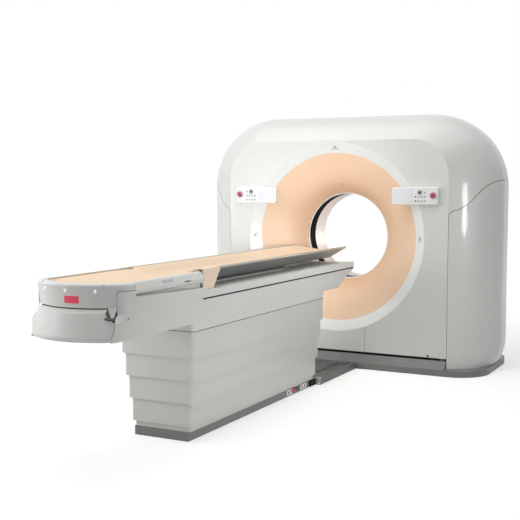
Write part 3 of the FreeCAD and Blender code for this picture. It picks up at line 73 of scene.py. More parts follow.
class Finish:
    """A material whose colour, roughness and relief vary with place."""

    def __init__(self, name, rough=0.4, metallic=0.0, coat=0.0, coat_rough=0.05, sheen=0.0):
        self.material = bpy.data.materials.new(name)
        self.material.use_nodes = True
        self.tree = self.material.node_tree
        self.shader = self.tree.nodes["Principled BSDF"]
        self.set("Metallic", metallic)
        self.set("Coat Weight", coat)
        self.set("Coat Roughness", coat_rough)
        self.set("Sheen Weight", sheen)
        self.rough = rough
        self.place = self.tree.nodes.new("ShaderNodeTexCoord").outputs["Object"]
        self.relief = None

    def set(self, socket, value):
        self.shader.inputs[socket].default_value = value

    def link(self, start, end):
        self.tree.links.new(start, end)

    def noise(self, scale, detail=3.0, stretch=None):
        """A noise value at each place; stretch scales each axis by itself."""
        source = self.place
        if stretch:
            mapping = self.tree.nodes.new("ShaderNodeMapping")
            mapping.inputs["Scale"].default_value = stretch
            self.link(source, mapping.inputs["Vector"])
            source = mapping.outputs["Vector"]
        noise = self.tree.nodes.new("ShaderNodeTexNoise")
        noise.inputs["Scale"].default_value = scale
        noise.inputs["Detail"].default_value = detail
        self.link(source, noise.inputs["Vector"])
        return noise.outputs["Fac"]

    def span(self, value, low, high, out_low, out_high):
        """Maps a value from one span to another and clamps it there."""
        ranger = self.tree.nodes.new("ShaderNodeMapRange")
        for name, number in (("From Min", low), ("From Max", high),
                             ("To Min", out_low), ("To Max", out_high)):
            ranger.inputs[name].default_value = number
        self.link(value, ranger.inputs["Value"])
        return ranger.outputs["Result"]

    def cloud(self, scale, detail=3.0, most=1.0):
        """A soft cloudy share from 0 to most."""
        return self.span(self.noise(scale, detail), NOISE_LOW, NOISE_HIGH, 0.0, most)

    def mix(self, share, first, second):
        """Blends two colours, each a constant or a socket."""
        mixer = self.tree.nodes.new("ShaderNodeMix")
        mixer.data_type = "RGBA"
        self.link(share, mixer.inputs["Factor"])
        for socket, colour in ((mixer.inputs[COLOUR_A], first), (mixer.inputs[COLOUR_B], second)):
            if isinstance(colour, tuple):
                socket.default_value = colour
            else:
                self.link(colour, socket)
        return mixer.outputs[COLOUR_OUT]

    def axis(self, name):
        """One coordinate of the place."""
        split = self.tree.nodes.new("ShaderNodeSeparateXYZ")
        self.link(self.place, split.inputs["Vector"])
        return split.outputs[name]

    def colour(self, socket):
        self.link(socket, self.shader.inputs["Base Color"])

    def roughness(self, scale, spread, stretch=None):
        """Uneven gloss about the finish's own roughness."""
        value = self.noise(scale, 4.0, stretch)
        self.link(self.span(value, NOISE_LOW, NOISE_HIGH, self.rough - spread, self.rough + spread),
                  self.shader.inputs["Roughness"])

    def bump(self, height, strength, distance):
        """Adds a layer of relief over the layers set before."""
        node = self.tree.nodes.new("ShaderNodeBump")
        node.inputs["Strength"].default_value = strength
        node.inputs["Distance"].default_value = distance
        self.link(height, node.inputs["Height"])
        if self.relief is not None:
            self.link(self.relief, node.inputs["Normal"])
        self.relief = node.outputs["Normal"]
        self.link(self.relief, self.shader.inputs["Normal"])


def moulded(name, colour, rough=0.32, coat=0.35, coat_rough=0.06, mottle=0.03):
    """Painted or moulded plastic: faint mottling, orange peel and uneven gloss."""
    finish = Finish(name, rough, coat=coat, coat_rough=coat_rough)
    finish.colour(finish.mix(finish.cloud(scale=1.3), scaled(colour, 1 - mottle),
                             scaled(colour, 1 + mottle / 2)))
    finish.roughness(scale=5.0, spread=0.04)
    finish.bump(finish.noise(scale=160.0, detail=2.0), strength=0.05, distance=0.0006)
    return finish


def unglossed(finish, level):
    """Takes most of the mirror gloss off a dead black finish."""
    finish.set("Specular IOR Level", level)
    return finish


def painted(name, colour, wear=0.25):
    """Sprayed steel with fine grain, light dust and pale scuffs."""
    finish = Finish(name, rough=0.45, coat=0.08, coat_rough=0.2)
    base = finish.mix(finish.cloud(scale=3.0, detail=5.0), scaled(colour, 0.94),
                      scaled(colour, 1.05))
    scratches = finish.noise(scale=14.0, detail=8.0, stretch=(1.0, 1.0, 6.0))
    finish.colour(finish.mix(finish.span(scratches, 0.62, 0.7, 0.0, wear), base,
                             scaled(colour, 1.45)))
    finish.roughness(scale=9.0, spread=0.08)
    finish.bump(finish.noise(scale=420.0), strength=0.12, distance=0.0005)
    return finish


ALONG_Y, ALONG_Z, EVEN = (1.0, 0.02, 1.0), (1.0, 1.0, 0.02), (1.0, 1.0, 1.0)


def metal(name, colour, rough=0.32, stretch=ALONG_Y):
    """Drawn or machined metal with fine lines along one axis."""
    finish = Finish(name, rough, metallic=1.0)
    lines = finish.noise(scale=700.0, stretch=stretch)
    finish.colour(finish.mix(lines, scaled(colour, 0.86), scaled(colour, 1.12)))
    finish.roughness(scale=40.0, spread=0.09, stretch=stretch)
    finish.bump(lines, strength=0.08, distance=0.0003)
    return finish


FUNNEL_SHADE_DEPTHS = (0.06, 0.32)  # depths between which painted shade darkens the funnel towards the lip
DECK_SHADE_HEIGHTS = (0.8843, 0.8849)  # heights between which painted shade from the cradle darkens the sheet into its runners
CRADLE_RIM = (0.9872, 0.9876)  # heights between which the shell turns into its pale bead


def funnel_satin():
    """Peach satin, darkened towards the lip by painted shade deeper in the bore."""
    finish = Finish("funnel_peach", rough=0.46, coat=0.12, coat_rough=0.2)
    # painted shade: the peach darkens deeper in the bore, towards the lip
    bore_shade = finish.span(finish.axis("Y"), *FUNNEL_SHADE_DEPTHS, 0.0, 1.0)
    shaded_tint = finish.mix(bore_shade, paint(251, 219, 187), paint(226, 186, 150))
    finish.colour(finish.mix(finish.cloud(scale=2.2, most=0.5), shaded_tint, paint(244, 210, 175)))
    finish.roughness(scale=7.0, spread=0.05)
    finish.bump(finish.noise(scale=380.0), strength=0.06, distance=0.0005)
    return finish


def film(name, low, high, scale, detail, rough, coat, coat_rough, gloss_scale):
    """A smooth pane or film with faint streaks between two tones."""
    finish = Finish(name, rough, coat=coat, coat_rough=coat_rough)
    finish.colour(finish.mix(finish.cloud(scale, detail), low, high))
    finish.roughness(gloss_scale, spread=0.03)
    return finish


def deck_sheet():
    """Satin alloy sheet with fine lines along the table, and its runners darkened by painted shade
    under the cradle.
    """
    finish = Finish("deck_alloy", rough=0.5, metallic=0.08)
    lines = finish.noise(scale=500.0, stretch=(1.0, 0.015, 1.0))
    sheet = finish.mix(lines, paint(222, 221, 217), paint(238, 237, 233))
    # painted shade: the runners under the cradle turn dark grey
    runner_shade = finish.span(finish.axis("Z"), *DECK_SHADE_HEIGHTS, 0.0, 1.0)
    finish.colour(finish.mix(runner_shade, sheet, paint(66, 66, 64)))
    finish.roughness(scale=30.0, spread=0.06, stretch=(1.0, 0.05, 1.0))
    finish.bump(lines, strength=0.05, distance=0.0003)
    return finish


def cradle_composite():
    """Dark woven composite with a pale bead along the rim."""
    finish = Finish("cradle_shell", rough=0.34, coat=0.3, coat_rough=0.12)
    weave = finish.noise(scale=260.0, detail=4.0, stretch=(1.0, 0.25, 1.0))
    body = finish.mix(weave, paint(136, 138, 136), paint(152, 154, 152))
    rim = finish.span(finish.axis("Z"), *CRADLE_RIM, 0.0, 1.0)
    finish.colour(finish.mix(rim, body, paint(196, 187, 173)))
    finish.roughness(scale=24.0, spread=0.05, stretch=(1.0, 0.2, 1.0))
    finish.bump(weave, strength=0.06, distance=0.0004)
    return finish


def cushion_cloth():
    """Coated cloth: a fine grain of pores under a soft film, with slow creases."""
    finish = Finish("pad_cloth", rough=0.55, coat=0.06, coat_rough=0.35, sheen=0.15)
    base = finish.mix(finish.cloud(scale=1.6, detail=4.0), paint(244, 212, 176),
                      paint(250, 221, 187))
    pores = finish.tree.nodes.new("ShaderNodeTexVoronoi")
    pores.inputs["Scale"].default_value = 620.0
    finish.link(finish.place, pores.inputs["Vector"])
    cells = pores.outputs["Distance"]
    finish.colour(finish.mix(finish.span(cells, 0.0, 0.9, 0.0, 0.35), base,
                             paint(232, 197, 161)))
    finish.roughness(scale=12.0, spread=0.06)
    creases = finish.noise(scale=3.2, detail=4.0, stretch=(1.0, 0.5, 1.0))
    finish.bump(creases, strength=0.16, distance=0.006)
    finish.bump(cells, strength=0.14, distance=0.0006)
    return finish


# one finish for each material slot of the record
FINISHES = {
    "cover_shell": moulded("moulded_cover", paint(229, 230, 226), coat_rough=0.07),
    "trim_white": moulded("trim_ring", paint(247, 251, 250), rough=0.34, coat=0.25),
    "funnel_peach": funnel_satin(),
    "window_black": unglossed(moulded("window_film", paint(9, 9, 10), rough=0.5, coat=0.0), 0.01),
    "laser_glass": film("laser_pane", paint(214, 217, 212), paint(226, 229, 224), scale=60.0,
                        detail=2.0, rough=0.08, coat=0.5, coat_rough=0.02, gloss_scale=30.0),
    "panel_white": moulded("panel_plastic", paint(247, 247, 246), rough=0.25, coat=0.4),
    "screen_pale": film("screen_film", paint(233, 236, 243), paint(244, 246, 250), scale=4.0,
                        detail=1.0, rough=0.14, coat=0.6, coat_rough=0.03, gloss_scale=20.0),
    "key_grey": moulded("key_film", paint(196, 198, 201), rough=0.45, coat=0.1),
    "button_red": moulded("stop_red", paint(188, 24, 58), rough=0.28, coat=0.5),
    "button_grey": moulded("dial_grey", paint(146, 148, 152), rough=0.35),
    "base_grey": painted("base_paint", paint(125, 126, 124)),
    "frame_paint": painted("frame_paint", paint(150, 154, 158)),
    "bearing_steel": metal("bearing_steel", (0.56, 0.57, 0.58, 1.0)),
    "rotor_alloy": metal("rotor_alloy", (0.68, 0.69, 0.70, 1.0), rough=0.4),
    "ring_copper": metal("ring_copper", (0.68, 0.47, 0.27, 1.0), rough=0.25),
    "housing_grey": painted("housing_paint", paint(178, 182, 184), wear=0.1),
    "detector_dark": painted("detector_paint", paint(62, 66, 70), wear=0.1),
    "skirt_grey": moulded("skirt_cover", paint(217, 217, 211), rough=0.38, coat=0.2),
    "table_shell": moulded("table_cover", paint(224, 225, 221), rough=0.46, coat=0.15,
                           coat_rough=0.3),
    "deck_grey": deck_sheet(),
    "column_steel": metal("column_steel", (0.52, 0.53, 0.54, 1.0), stretch=ALONG_Z),
    "cradle_grey": cradle_composite(),
    "pad_fabric": cushion_cloth(),
    "flap_peach": moulded("flap_plastic", paint(250, 228, 204), rough=0.42, coat=0.1),
    "label_red": moulded("label_film", paint(254, 70, 104), rough=0.4, coat=0.2, mottle=0.05),
    "cap_grey": metal("cap_chrome", (0.96, 0.96, 0.96, 1.0), rough=0.18, stretch=EVEN),
    "keypad_dark": moulded("keypad_film", paint(206, 209, 210), rough=0.3, coat=0.3),
    "knob_black": moulded("dark_plastic", paint(34, 35, 37), rough=0.4, coat=0.2),
    "socket_metal": metal("socket_plate", (0.74, 0.74, 0.72, 1.0), rough=0.4),
}
# nodes whose finish differs from the rest of their slot
ODD_NODES = {
    "bore_liner": moulded("bore_liner", paint(250, 238, 230), rough=0.4, coat=0.1),
    "floor_bridge": painted("bridge_paint", paint(103, 105, 105), wear=0.4),
}
# finishes of small added pieces
matte = unglossed(moulded("matte_black", paint(20, 20, 21), rough=0.6, coat=0.0), 0.12)
# a dark band painted as the shade in the gap under the table
seam_shade = moulded("painted_seam_shade", paint(104, 105, 103), rough=0.6, coat=0.0)
lens_grey = moulded("lens_grey", paint(158, 163, 153), rough=0.3, coat=0.3)
lamp_blue = moulded("lamp_blue", paint(24, 150, 205), rough=0.25, coat=0.4)

slots = {part["node"]: part["material_slot"] for part in frame["record"]["subparts"]}
for name, thing in nodes.items():
    finish = ODD_NODES.get(name, FINISHES[slots[name]])
    thing.data.materials.clear()
    thing.data.materials.append(finish.material)

# ------------------------------------------------------------------- meshes


def add_mesh(name, points, faces, body, slot, finish=None):
    """A smooth piece that rides on a body, in its slot's finish or one of its own."""
    mesh = bpy.data.meshes.new(name)
    mesh.from_pydata([tuple(point) for point in points], [], faces)
    mesh.validate()
    shape = bmesh.new()
    shape.from_mesh(mesh)
    bmesh.ops.recalc_face_normals(shape, faces=shape.faces)
    shape.to_mesh(mesh)
    shape.free()
    mesh.polygons.foreach_set("use_smooth", [True] * len(mesh.polygons))
    mesh.materials.append((finish or FINISHES[slot]).material)
    thing = bpy.data.objects.new(name, mesh)
    bpy.context.scene.collection.objects.link(thing)
    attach(thing, body)
    return thing


def ring_faces(rings, count, closed=False):
    """Faces that join rings of points, each to the next, and the last to the first if closed."""
    faces = []
    for row in range(rings if closed else rings - 1):
        low, high = row * count, (row + 1) % rings * count
        for i in range(count):
            nxt = (i + 1) % count
            faces.append((low + i, high + i, high + nxt, low + nxt))
    return faces


def capped_faces(rings, count):
    """Faces of a closed tube: its rings and a cap at each end."""
    last = (rings - 1) * count
    return ring_faces(rings, count) + [tuple(range(count)),
                                       tuple(range(last + count - 1, last - 1, -1))]


def rounded_rectangle(half_x, half_y, corner, steps):
    """Outline of a rectangle with rounded corners, centred on the origin."""
    outline = []
    for quarter, (sx, sy) in enumerate(((1, 1), (-1, 1), (-1, -1), (1, -1))):
        for i in range(steps + 1):
            angle = math.pi / 2 * (quarter + i / steps)
            outline.append((sx * (half_x - corner) + corner * math.cos(angle),
                            sy * (half_y - corner) + corner * math.sin(angle)))
    return outline


def frame_on(normal, along=(0, 0, 1)):
    """Axes with Z along a normal and X as near as can be to a direction."""
    up = Vector(normal).normalized()
    side = Vector(along) - up * Vector(along).dot(up)
    if side.length < 1e-4:
        side = Vector((1, 0, 0))
    side.normalize()
    return Matrix((side, up.cross(side), up)).transposed()


def soften(thing, width):
    """Rounds a piece's sharp edges."""
    bevel = thing.modifiers.new("edge", "BEVEL")
    bevel.width = width
    bevel.segments = 2
    bevel.limit_method = "ANGLE"
    bevel.angle_limit = math.radians(40)
    bevel.harden_normals = True


def spun(name, profile, centre, normal, body, slot, finish=None, steps=40):
    """A turned piece from (radius, height) points about a normal."""
    turn = frame_on(normal)
    points = []
    for radius, height in profile:
        for i in range(steps):
            angle = 2 * math.pi * i / steps
            points.append(Vector(centre) + turn @ Vector(
                (radius * math.cos(angle), radius * math.sin(angle), height)))
    thing = add_mesh(name, points, capped_faces(len(profile), steps), body, slot, finish)
    soften(thing, min(0.0004, profile[0][0] / 6))
    return thing


def disc(radius, top, foot=0.0):
    """Profile of a plain disc."""
    return [(radius, foot), (radius, top)]


def washer(radius, wall, inner, top):
    """Profile of a ring plate whose upper edge slopes in to a smaller radius."""
    return [(radius, 0), (radius, wall), (inner, top)]


def slab(name, size, centre, normal, body, slot, finish=None, along=(0, 0, 1), corner=0.001):
    """A plate with rounded corners: size is along, across and thick."""
    turn = frame_on(normal, along)
    half_x, half_y, thick = size[0] / 2, size[1] / 2, size[2]
    corner = min(corner, half_x * 0.98, half_y * 0.98)
    outline = rounded_rectangle(half_x, half_y, corner, steps=4)
    points = [Vector(centre) + turn @ Vector((x, y, z)) for z in (0, thick) for x, y in outline]
    thing = add_mesh(name, points, capped_faces(2, len(outline)), body, slot, finish)
    soften(thing, min(0.0006, thick / 3, corner / 2))
    return thing


trees = {}


def surface(node, origin, direction):
    """Where a ray meets a node: the point and the outward normal."""
    if node not in trees:
        mesh = nodes[node].data
        trees[node] = BVHTree.FromPolygons([vertex.co.copy() for vertex in mesh.vertices],
                                           [tuple(face.vertices) for face in mesh.polygons])
    point, normal, _, _ = trees[node].ray_cast(Vector(origin), Vector(direction).normalized())
    if point is None:
        raise ValueError("no surface on " + node)
    if normal.dot(Vector(direction)) > 0:
        normal = -normal
    return point, normal


# --------------------------------------------------------------------- pad

PAD_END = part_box("pad")[1].y
PAD_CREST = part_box("pad")[1].z
STEP_Y = -2.5163  # where the wide foot end meets the long part
PAST_STEP = STEP_Y + 0.004  # first station of the long part
FOOT_BOTTOM, FOOT_TOP = 0.9483, 0.9860
FOOT_HALF, LONG_HALF = 0.2505, 0.2045
EDGE_ROUND = 0.016  # how far in the foot end's edges round off
END_ROUND = 0.02  # how far in the head end rounds off
ACROSS = 28  # spans from side to side

# plan of the foot end: the tray's apex arc, straight shoulder and corner, set in by the rim
RIM = 0.049
APEX_Y = -3.385 + RIM
APEX_RADIUS = 0.360 - RIM
SHOULDER_SLOPE = 0.625
CORNER_RADIUS = 0.100 - RIM
PLAN_HALF = FOOT_HALF + 0.0005  # with a hair of clearance to the tray's side


def foot_front(x):
    """Front line of the foot plan at a distance from the middle."""
    tilt = math.atan(SHOULDER_SLOPE)
    if x < APEX_RADIUS * math.sin(tilt):
        return APEX_Y + APEX_RADIUS - math.sqrt(APEX_RADIUS * APEX_RADIUS - x * x)
    shoulder = APEX_Y - APEX_RADIUS * (math.hypot(SHOULDER_SLOPE, 1) - 1)
    centre_x = PLAN_HALF - CORNER_RADIUS
    if x < centre_x + CORNER_RADIUS * math.sin(tilt):
        return shoulder + SHOULDER_SLOPE * x
    tangent = CORNER_RADIUS * math.tan((math.pi / 2 - tilt) / 2)
    centre_y = shoulder + SHOULDER_SLOPE * PLAN_HALF + tangent
    return centre_y - math.sqrt(max(0.0, CORNER_RADIUS * CORNER_RADIUS - (x - centre_x) ** 2))


def foot_half_width(y):
    """Half width of the rounded foot end at one station."""
    low, high = 0.0, FOOT_HALF
    for _ in range(40):
        middle = (low + high) / 2
        if foot_front(middle) < y:
            low = middle
        else:
            high = middle
    return middle


def quarter_round(share):
    """Height of a quarter circle as it rises from 0 to 1."""
    return math.sqrt(max(0.0, 1 - (1 - share) ** 2))


def smooth_step(share):
    return share * share * (3 - 2 * share)


def valley_bottom(x):
    """Underside of the long pad, a hair above the trough's inner face."""
    flat, bend, slope = 0.079, 0.0175, 0.637
    low = 0.9143
    past = abs(x) - flat
    if past < -bend:
        return low
    if past < bend:
        return low + slope * (past + bend) ** 2 / (4 * bend)
    return low + slope * past


def valley_top(x):
    """Upper face of the long pad: a shallow valley between raised sides."""
    bore_shade, reach, below_crest = 0.030, 0.2, 0.0006
    brow, brow_drop = 0.190, 0.0022
    top = PAD_CREST - below_crest - bore_shade * (1 - smooth_step(min(1.0, abs(x) / reach)))
    past = max(0.0, abs(x) - brow) / (LONG_HALF - brow)
    return top - brow_drop * past * past


def pad_stations():
    """Places along the pad, closer where its ends and its step round off."""
    nose_spans, foot_spans, step_spans, long_spans, end_spans = 26, 24, 8, 56, 6
    nose, setback = 0.235, 0.0004
    end_reach = 0.0198  # the last ring stops a hair before the solid's end
    start = foot_front(0.0) + setback
    stations = [start + nose * (1 - math.cos(math.pi / 2 * i / nose_spans))
                for i in range(nose_spans + 1)]
    last = stations[-1]
    stations += [last + (STEP_Y - EDGE_ROUND - last) * i / foot_spans
                 for i in range(1, foot_spans + 1)]
    stations += [STEP_Y - EDGE_ROUND + EDGE_ROUND * math.sin(math.pi / 2 * i / step_spans)
                 for i in range(1, step_spans + 1)]
    stations += [PAST_STEP + (PAD_END - END_ROUND - PAST_STEP) * i / long_spans
                 for i in range(long_spans + 1)]
    stations += [PAD_END - END_ROUND + end_reach * math.sin(math.pi / 2 * i / end_spans)
                 for i in range(1, end_spans + 1)]
    return stations


def spread(half):
    """Places across the pad, closer at its sides."""
    return [half * math.sin(math.pi / 2 * (-1 + 2 * i / ACROSS)) for i in range(ACROSS + 1)]


def foot_section(y):
    """Across the crowned foot end: (x, top, bottom), sinking to the valley at the step."""
    nose_round, crown, sink, step_reach = 0.03, 0.0035, 0.24, 0.03
    half = foot_half_width(y)
    if y > STEP_Y - EDGE_ROUND:
        left = (STEP_Y - y) / EDGE_ROUND
        half = LONG_HALF + step_reach + EDGE_ROUND * quarter_round(left)
    nose = 1 - (1 - min(1.0, (y - foot_front(0.0)) / nose_round)) ** 3
    lift = (FOOT_TOP - FOOT_BOTTOM) * nose / 2
    middle = (FOOT_TOP + FOOT_BOTTOM) / 2
    blend = min(1.0, max(0.0, (y - STEP_Y + sink) / sink))
    section = []
    for x in spread(half):
        fall = quarter_round(min(1.0, max(0.0, half - abs(x)) / EDGE_ROUND))
        top = middle + lift * fall + crown * (1 - (x / half) ** 2) * (1 - blend)
        valley = valley_top(x) if abs(x) < LONG_HALF else PAD_CREST
        section.append((x, min(top, top + (valley - top) * smooth_step(blend)),
                        middle - lift * fall))
    return section


def long_section(y):
    """Across the long part: (x, top, bottom), rounded off at the head end."""
    thinnest = 0.0012
    round_off = quarter_round(min(1.0, (PAD_END - y) / END_ROUND))
    section = []
    for x in spread(LONG_HALF):
        low = valley_bottom(x)
        high = max(low + thinnest, valley_top(x))
        middle = (low + high) / 2
        section.append((x, middle + (high - middle) * round_off,
                        middle - (middle - low) * round_off))
    return section


def add_pad():
    """One closed crowned cushion in place of the plain solid."""
    points = []
    stations = pad_stations()
    for y in stations:
        section = foot_section(y) if y < PAST_STEP else long_section(y)
        points += [(x, y, top) for x, top, _ in section]
        points += [(x, y, low) for x, _, low in reversed(section)]
    pad = add_mesh("pad_cushion", points, capped_faces(len(stations), 2 * (ACROSS + 1)),
                   "sliding_cradle", "pad_fabric")
    smoother = pad.modifiers.new("smooth", "SUBSURF")
    smoother.levels = 1
    smoother.render_levels = 1
    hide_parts("pad")


add_pad()

# ----------------------------------------------------------- small fittings

SIDES = ((-1, "left"), (1, "right"))
FRONT, RIGHT, UP = (0, -1, 0), (1, 0, 0), (0, 0, 1)
ALONG_TABLE = (0, 1, 0)
BORE_Z = 1.05
BEFORE_GANTRY = -0.5  # rays start here and meet the gantry's face

# port in the funnel, screws in the liner, lock in the cover
spot, out = surface("front_funnel", (-0.008, 0.199, BORE_Z), UP)
spun("funnel_port_ring", washer(0.009, 0.0012, 0.006, 0.0016), spot, out, "stand", "flap_peach")
spun("funnel_port_eye", disc(0.0062, 0.0019, foot=0.0006), spot, out, "stand", "knob_black")
for number, (screw_y, screw_z) in enumerate(((0.440, 1.092), (0.574, 1.075))):
    spot, out = surface("bore_liner", (0, screw_y, screw_z), (-1, 0, 0))
    spun("liner_screw_%d" % number, washer(0.0048, 0.0008, 0.0036, 0.0016), spot, out, "stand",
         "knob_black")
spot, out = surface("front_cover", (0.807, BEFORE_GANTRY, 0.143), ALONG_TABLE)
spun("cover_lock_ring", washer(0.012, 0.001, 0.009, 0.0014), spot, out, "stand", "trim_white")
spun("cover_lock", disc(0.009, 0.0018, foot=0.0002), spot, out, "stand", "knob_black")

# latch in the table's side, eyes of the foot caps
spot, out = surface("side_panel_right", (0.6, -3.258, 0.815), (-1, 0, 0))
slab("side_latch", (0.014, 0.005, 0.0012), spot, out, "table_top", "knob_black",
     along=(0, 0.6, 0.8), corner=0.0024)
for word, x in (("left", -0.158), ("middle", 0.0), ("right", 0.158)):
    spot, out = surface("foot_caps", (x, -3.6, 0.957), ALONG_TABLE)
    spun("cap_eye_" + word, disc(0.0034, 0.0006), spot, out, "table_top", "knob_black", steps=24)

# control panels: collar, dial, marks of the film keys and margin of the screen
PANEL_Y, FILM_Y = -0.034, -0.0352
STOP_X, STOP_Z = 0.844, 1.395
DIAL_X, DIAL_Z = 0.737, 1.417
KEY_X, KEY_PITCH_X, KEY_PITCH_Z = 0.702, 0.025, 0.03375
KEY_COLUMNS, KEY_LINES = 4, 3
SCREEN_X, SCREEN_Z = 0.6, 1.393
MARGIN_X, MARGIN_Z, MARGIN_WIDE, MARGIN_THICK = 0.0755, 0.0505, 0.0018, 0.0006
upright = (2 * MARGIN_Z + 0.003, MARGIN_WIDE, MARGIN_THICK)
level = (MARGIN_WIDE, 2 * MARGIN_X + MARGIN_WIDE, MARGIN_THICK)
for side, word in SIDES:
    spun("stop_collar_" + word, [(0.0265, 0), (0.0265, 0.003), (0.022, 0.005), (0.021, 0.003)],
         (STOP_X * side, PANEL_Y, STOP_Z), FRONT, "stand", "key_grey")
    spun("dial_ring_" + word, washer(0.0215, 0.0012, 0.0165, 0.0018),
         (DIAL_X * side, PANEL_Y, DIAL_Z), FRONT, "stand", "key_grey")
    spot, out = surface("round_button_" + word, (DIAL_X * side, BEFORE_GANTRY, DIAL_Z),
                        ALONG_TABLE)
    spun("dial_hub_" + word, disc(0.007, 0.0008), spot, out, "round_" + word, "knob_black",
         steps=28)
    for column in range(KEY_COLUMNS):
        # the dial takes the place of the first line's other keys
        for line in range(0 if column == KEY_COLUMNS - 1 else 1, KEY_LINES):
            wide, slot = (0.0034, "button_grey") if column else (0.0052, "knob_black")
            place = ((KEY_X + KEY_PITCH_X * column) * side, FILM_Y, DIAL_Z - KEY_PITCH_Z * line)
            spun("key_dot_%s_%d_%d" % (word, column, line), disc(wide, 0.0004), place, FRONT,
                 "stand", slot, steps=20)
    margins = ((upright, -MARGIN_X, 0), (upright, MARGIN_X, 0),
               (level, 0, MARGIN_Z), (level, 0, -MARGIN_Z))
    for number, (size, x, z) in enumerate(margins):
        slab("screen_edge_%s_%d" % (word, number), size,
             (SCREEN_X * side + x, PANEL_Y, SCREEN_Z + z), FRONT, "stand", "key_grey",
             corner=0.0006)

# dark rail strips in the table's side grooves, and the switch in the right arm's pocket
RAIL_X, RAIL_Z, RAIL_FOOT, RAIL_HEAD = 0.2952, 0.840, -2.547, -0.293
for side, word in SIDES:
    slab("rail_strip_" + word, (RAIL_HEAD - RAIL_FOOT, 0.0088, 0.002),
         (RAIL_X * side, (RAIL_HEAD + RAIL_FOOT) / 2, RAIL_Z), (side, 0, 0), "table_top",
         "knob_black", matte, along=ALONG_TABLE, corner=0.002)
slab("arm_switch", (0.058, 0.007, 0.003), (0.2885, -2.707, 0.9517), RIGHT, "table_top",
     "knob_black", matte, along=ALONG_TABLE, corner=0.002)

# bead that closes the cradle's rim between its foot end and its long part
for side, word in SIDES:
    slab("bead_corner_" + word, (0.045, 0.031, 0.0212), (0.2345 * side, -2.5175, 0.9752), UP,
         "sliding_cradle", "cradle_grey", along=ALONG_TABLE, corner=0.006)

# painted shade of the gap under the table where the first skirt tier starts: a thin dark closed
# band
SEAM_Z = 0.651
SEAM_HALF, SEAM_FOOT, SEAM_HEAD, SEAM_CORNER = 0.255, -2.576, -0.760, 0.026
seam_middle, seam_half_length = (SEAM_HEAD + SEAM_FOOT) / 2, (SEAM_HEAD - SEAM_FOOT) / 2
seam_points = []
for grown, rise in ((-0.0005, -0.0025), (0.0006, -0.0018), (0.0006, 0.0018), (-0.0005, 0.0025)):
    loop = rounded_rectangle(SEAM_HALF + grown, seam_half_length + grown, SEAM_CORNER + grown,
                             steps=6)
    seam_points += [(x, seam_middle + y, SEAM_Z + rise) for x, y in loop]
add_mesh("skirt_seam", seam_points, ring_faces(4, len(loop), closed=True), "table_top",
         "knob_black", seam_shade)

# cable entry, plug with its tab, and the holes of the sockets on the plinth
SOCKET_X, HOLE_X, HOLE_Z = 0.1862, 0.1871, 0.026
SOCKET_STARTS, SOCKET_LONG = (-1.235, -1.015), 0.096
slab("cable_block", (0.094, 0.044, 0.012), (SOCKET_X, -0.8165, 0.026), RIGHT, "stand",
     "knob_black", matte, along=ALONG_TABLE, corner=0.003)
slab("link_plug", (0.070, 0.022, 0.009), (SOCKET_X, -1.079, 0.030), RIGHT, "stand",
     "knob_black", along=ALONG_TABLE, corner=0.004)
slab("link_tab", (0.020, 0.024, 0.010), (SOCKET_X, -1.128, 0.031), RIGHT, "stand",
     "label_red", along=ALONG_TABLE, corner=0.003)
for number, start in enumerate(SOCKET_STARTS):
    for percent in (28, 72):
        spun("socket_hole_%d_%d" % (number, percent), disc(0.0105, 0.0006),
             (HOLE_X, start + SOCKET_LONG * percent / 100, HOLE_Z), RIGHT, "stand", "knob_black",
             steps=24)

# laser lenses in their panes
LENS_RADIUS = 0.730
for word, radial in (("top", Vector(UP)), ("left", Vector((-1, 0, 0))), ("right", Vector(RIGHT))):
    ray_start = Vector((0, BEFORE_GANTRY, BORE_Z)) + radial * LENS_RADIUS
    spot, out = surface("laser_windows", ray_start, ALONG_TABLE)
    slab("laser_lens_" + word, (0.024, 0.014, 0.0024), spot, out, "stand", "laser_glass",
         lens_grey, along=radial.cross(Vector(ALONG_TABLE)), corner=0.005)

# keypad lamp and marks, set on the sloping arm
for number, mark_y in enumerate((-2.925, -2.905, -2.886, -2.868, -2.850)):
    spot, out = surface("arm_keypad", (0.8, mark_y, 1.35), (-0.512, 0, -0.377))
    wide, finish = (0.003, None) if number else (0.0048, lamp_blue)
    spun("keypad_mark_%d" % number, disc(wide, 0.0004), spot, out, "table_top", "button_grey",
         finish, steps=20)

# ------------------------------------------------------ floor, lamps, camera


def eye_rays(tree):
    """One for camera, glossy and transmission rays, so that they all see the same background."""
    path = tree.nodes.new("ShaderNodeLightPath").outputs
    total = path["Is Camera Ray"]
    for name in ("Is Glossy Ray", "Is Transmission Ray"):
        adder = tree.nodes.new("ShaderNodeMath")
        adder.operation = "MAXIMUM"
        tree.links.new(total, adder.inputs[0])
        tree.links.new(path[name], adder.inputs[1])
        total = adder.outputs["Value"]
    return total


FLOOR_REACH = 60.0
FLOOR_MIDDLE = (0.0, -1.6, 0.0)  # under the object
LIFT_NEAR, LIFT_FAR = 0.55, 1.0  # how white the floor itself is beside the object and far off
SHADOW_REACH, WHITE_REACH = 2.5, 8.0
FLOOR_TONES = (0.66, 0.66, 0.66, 1.0), (0.70, 0.70, 0.70, 1.0)


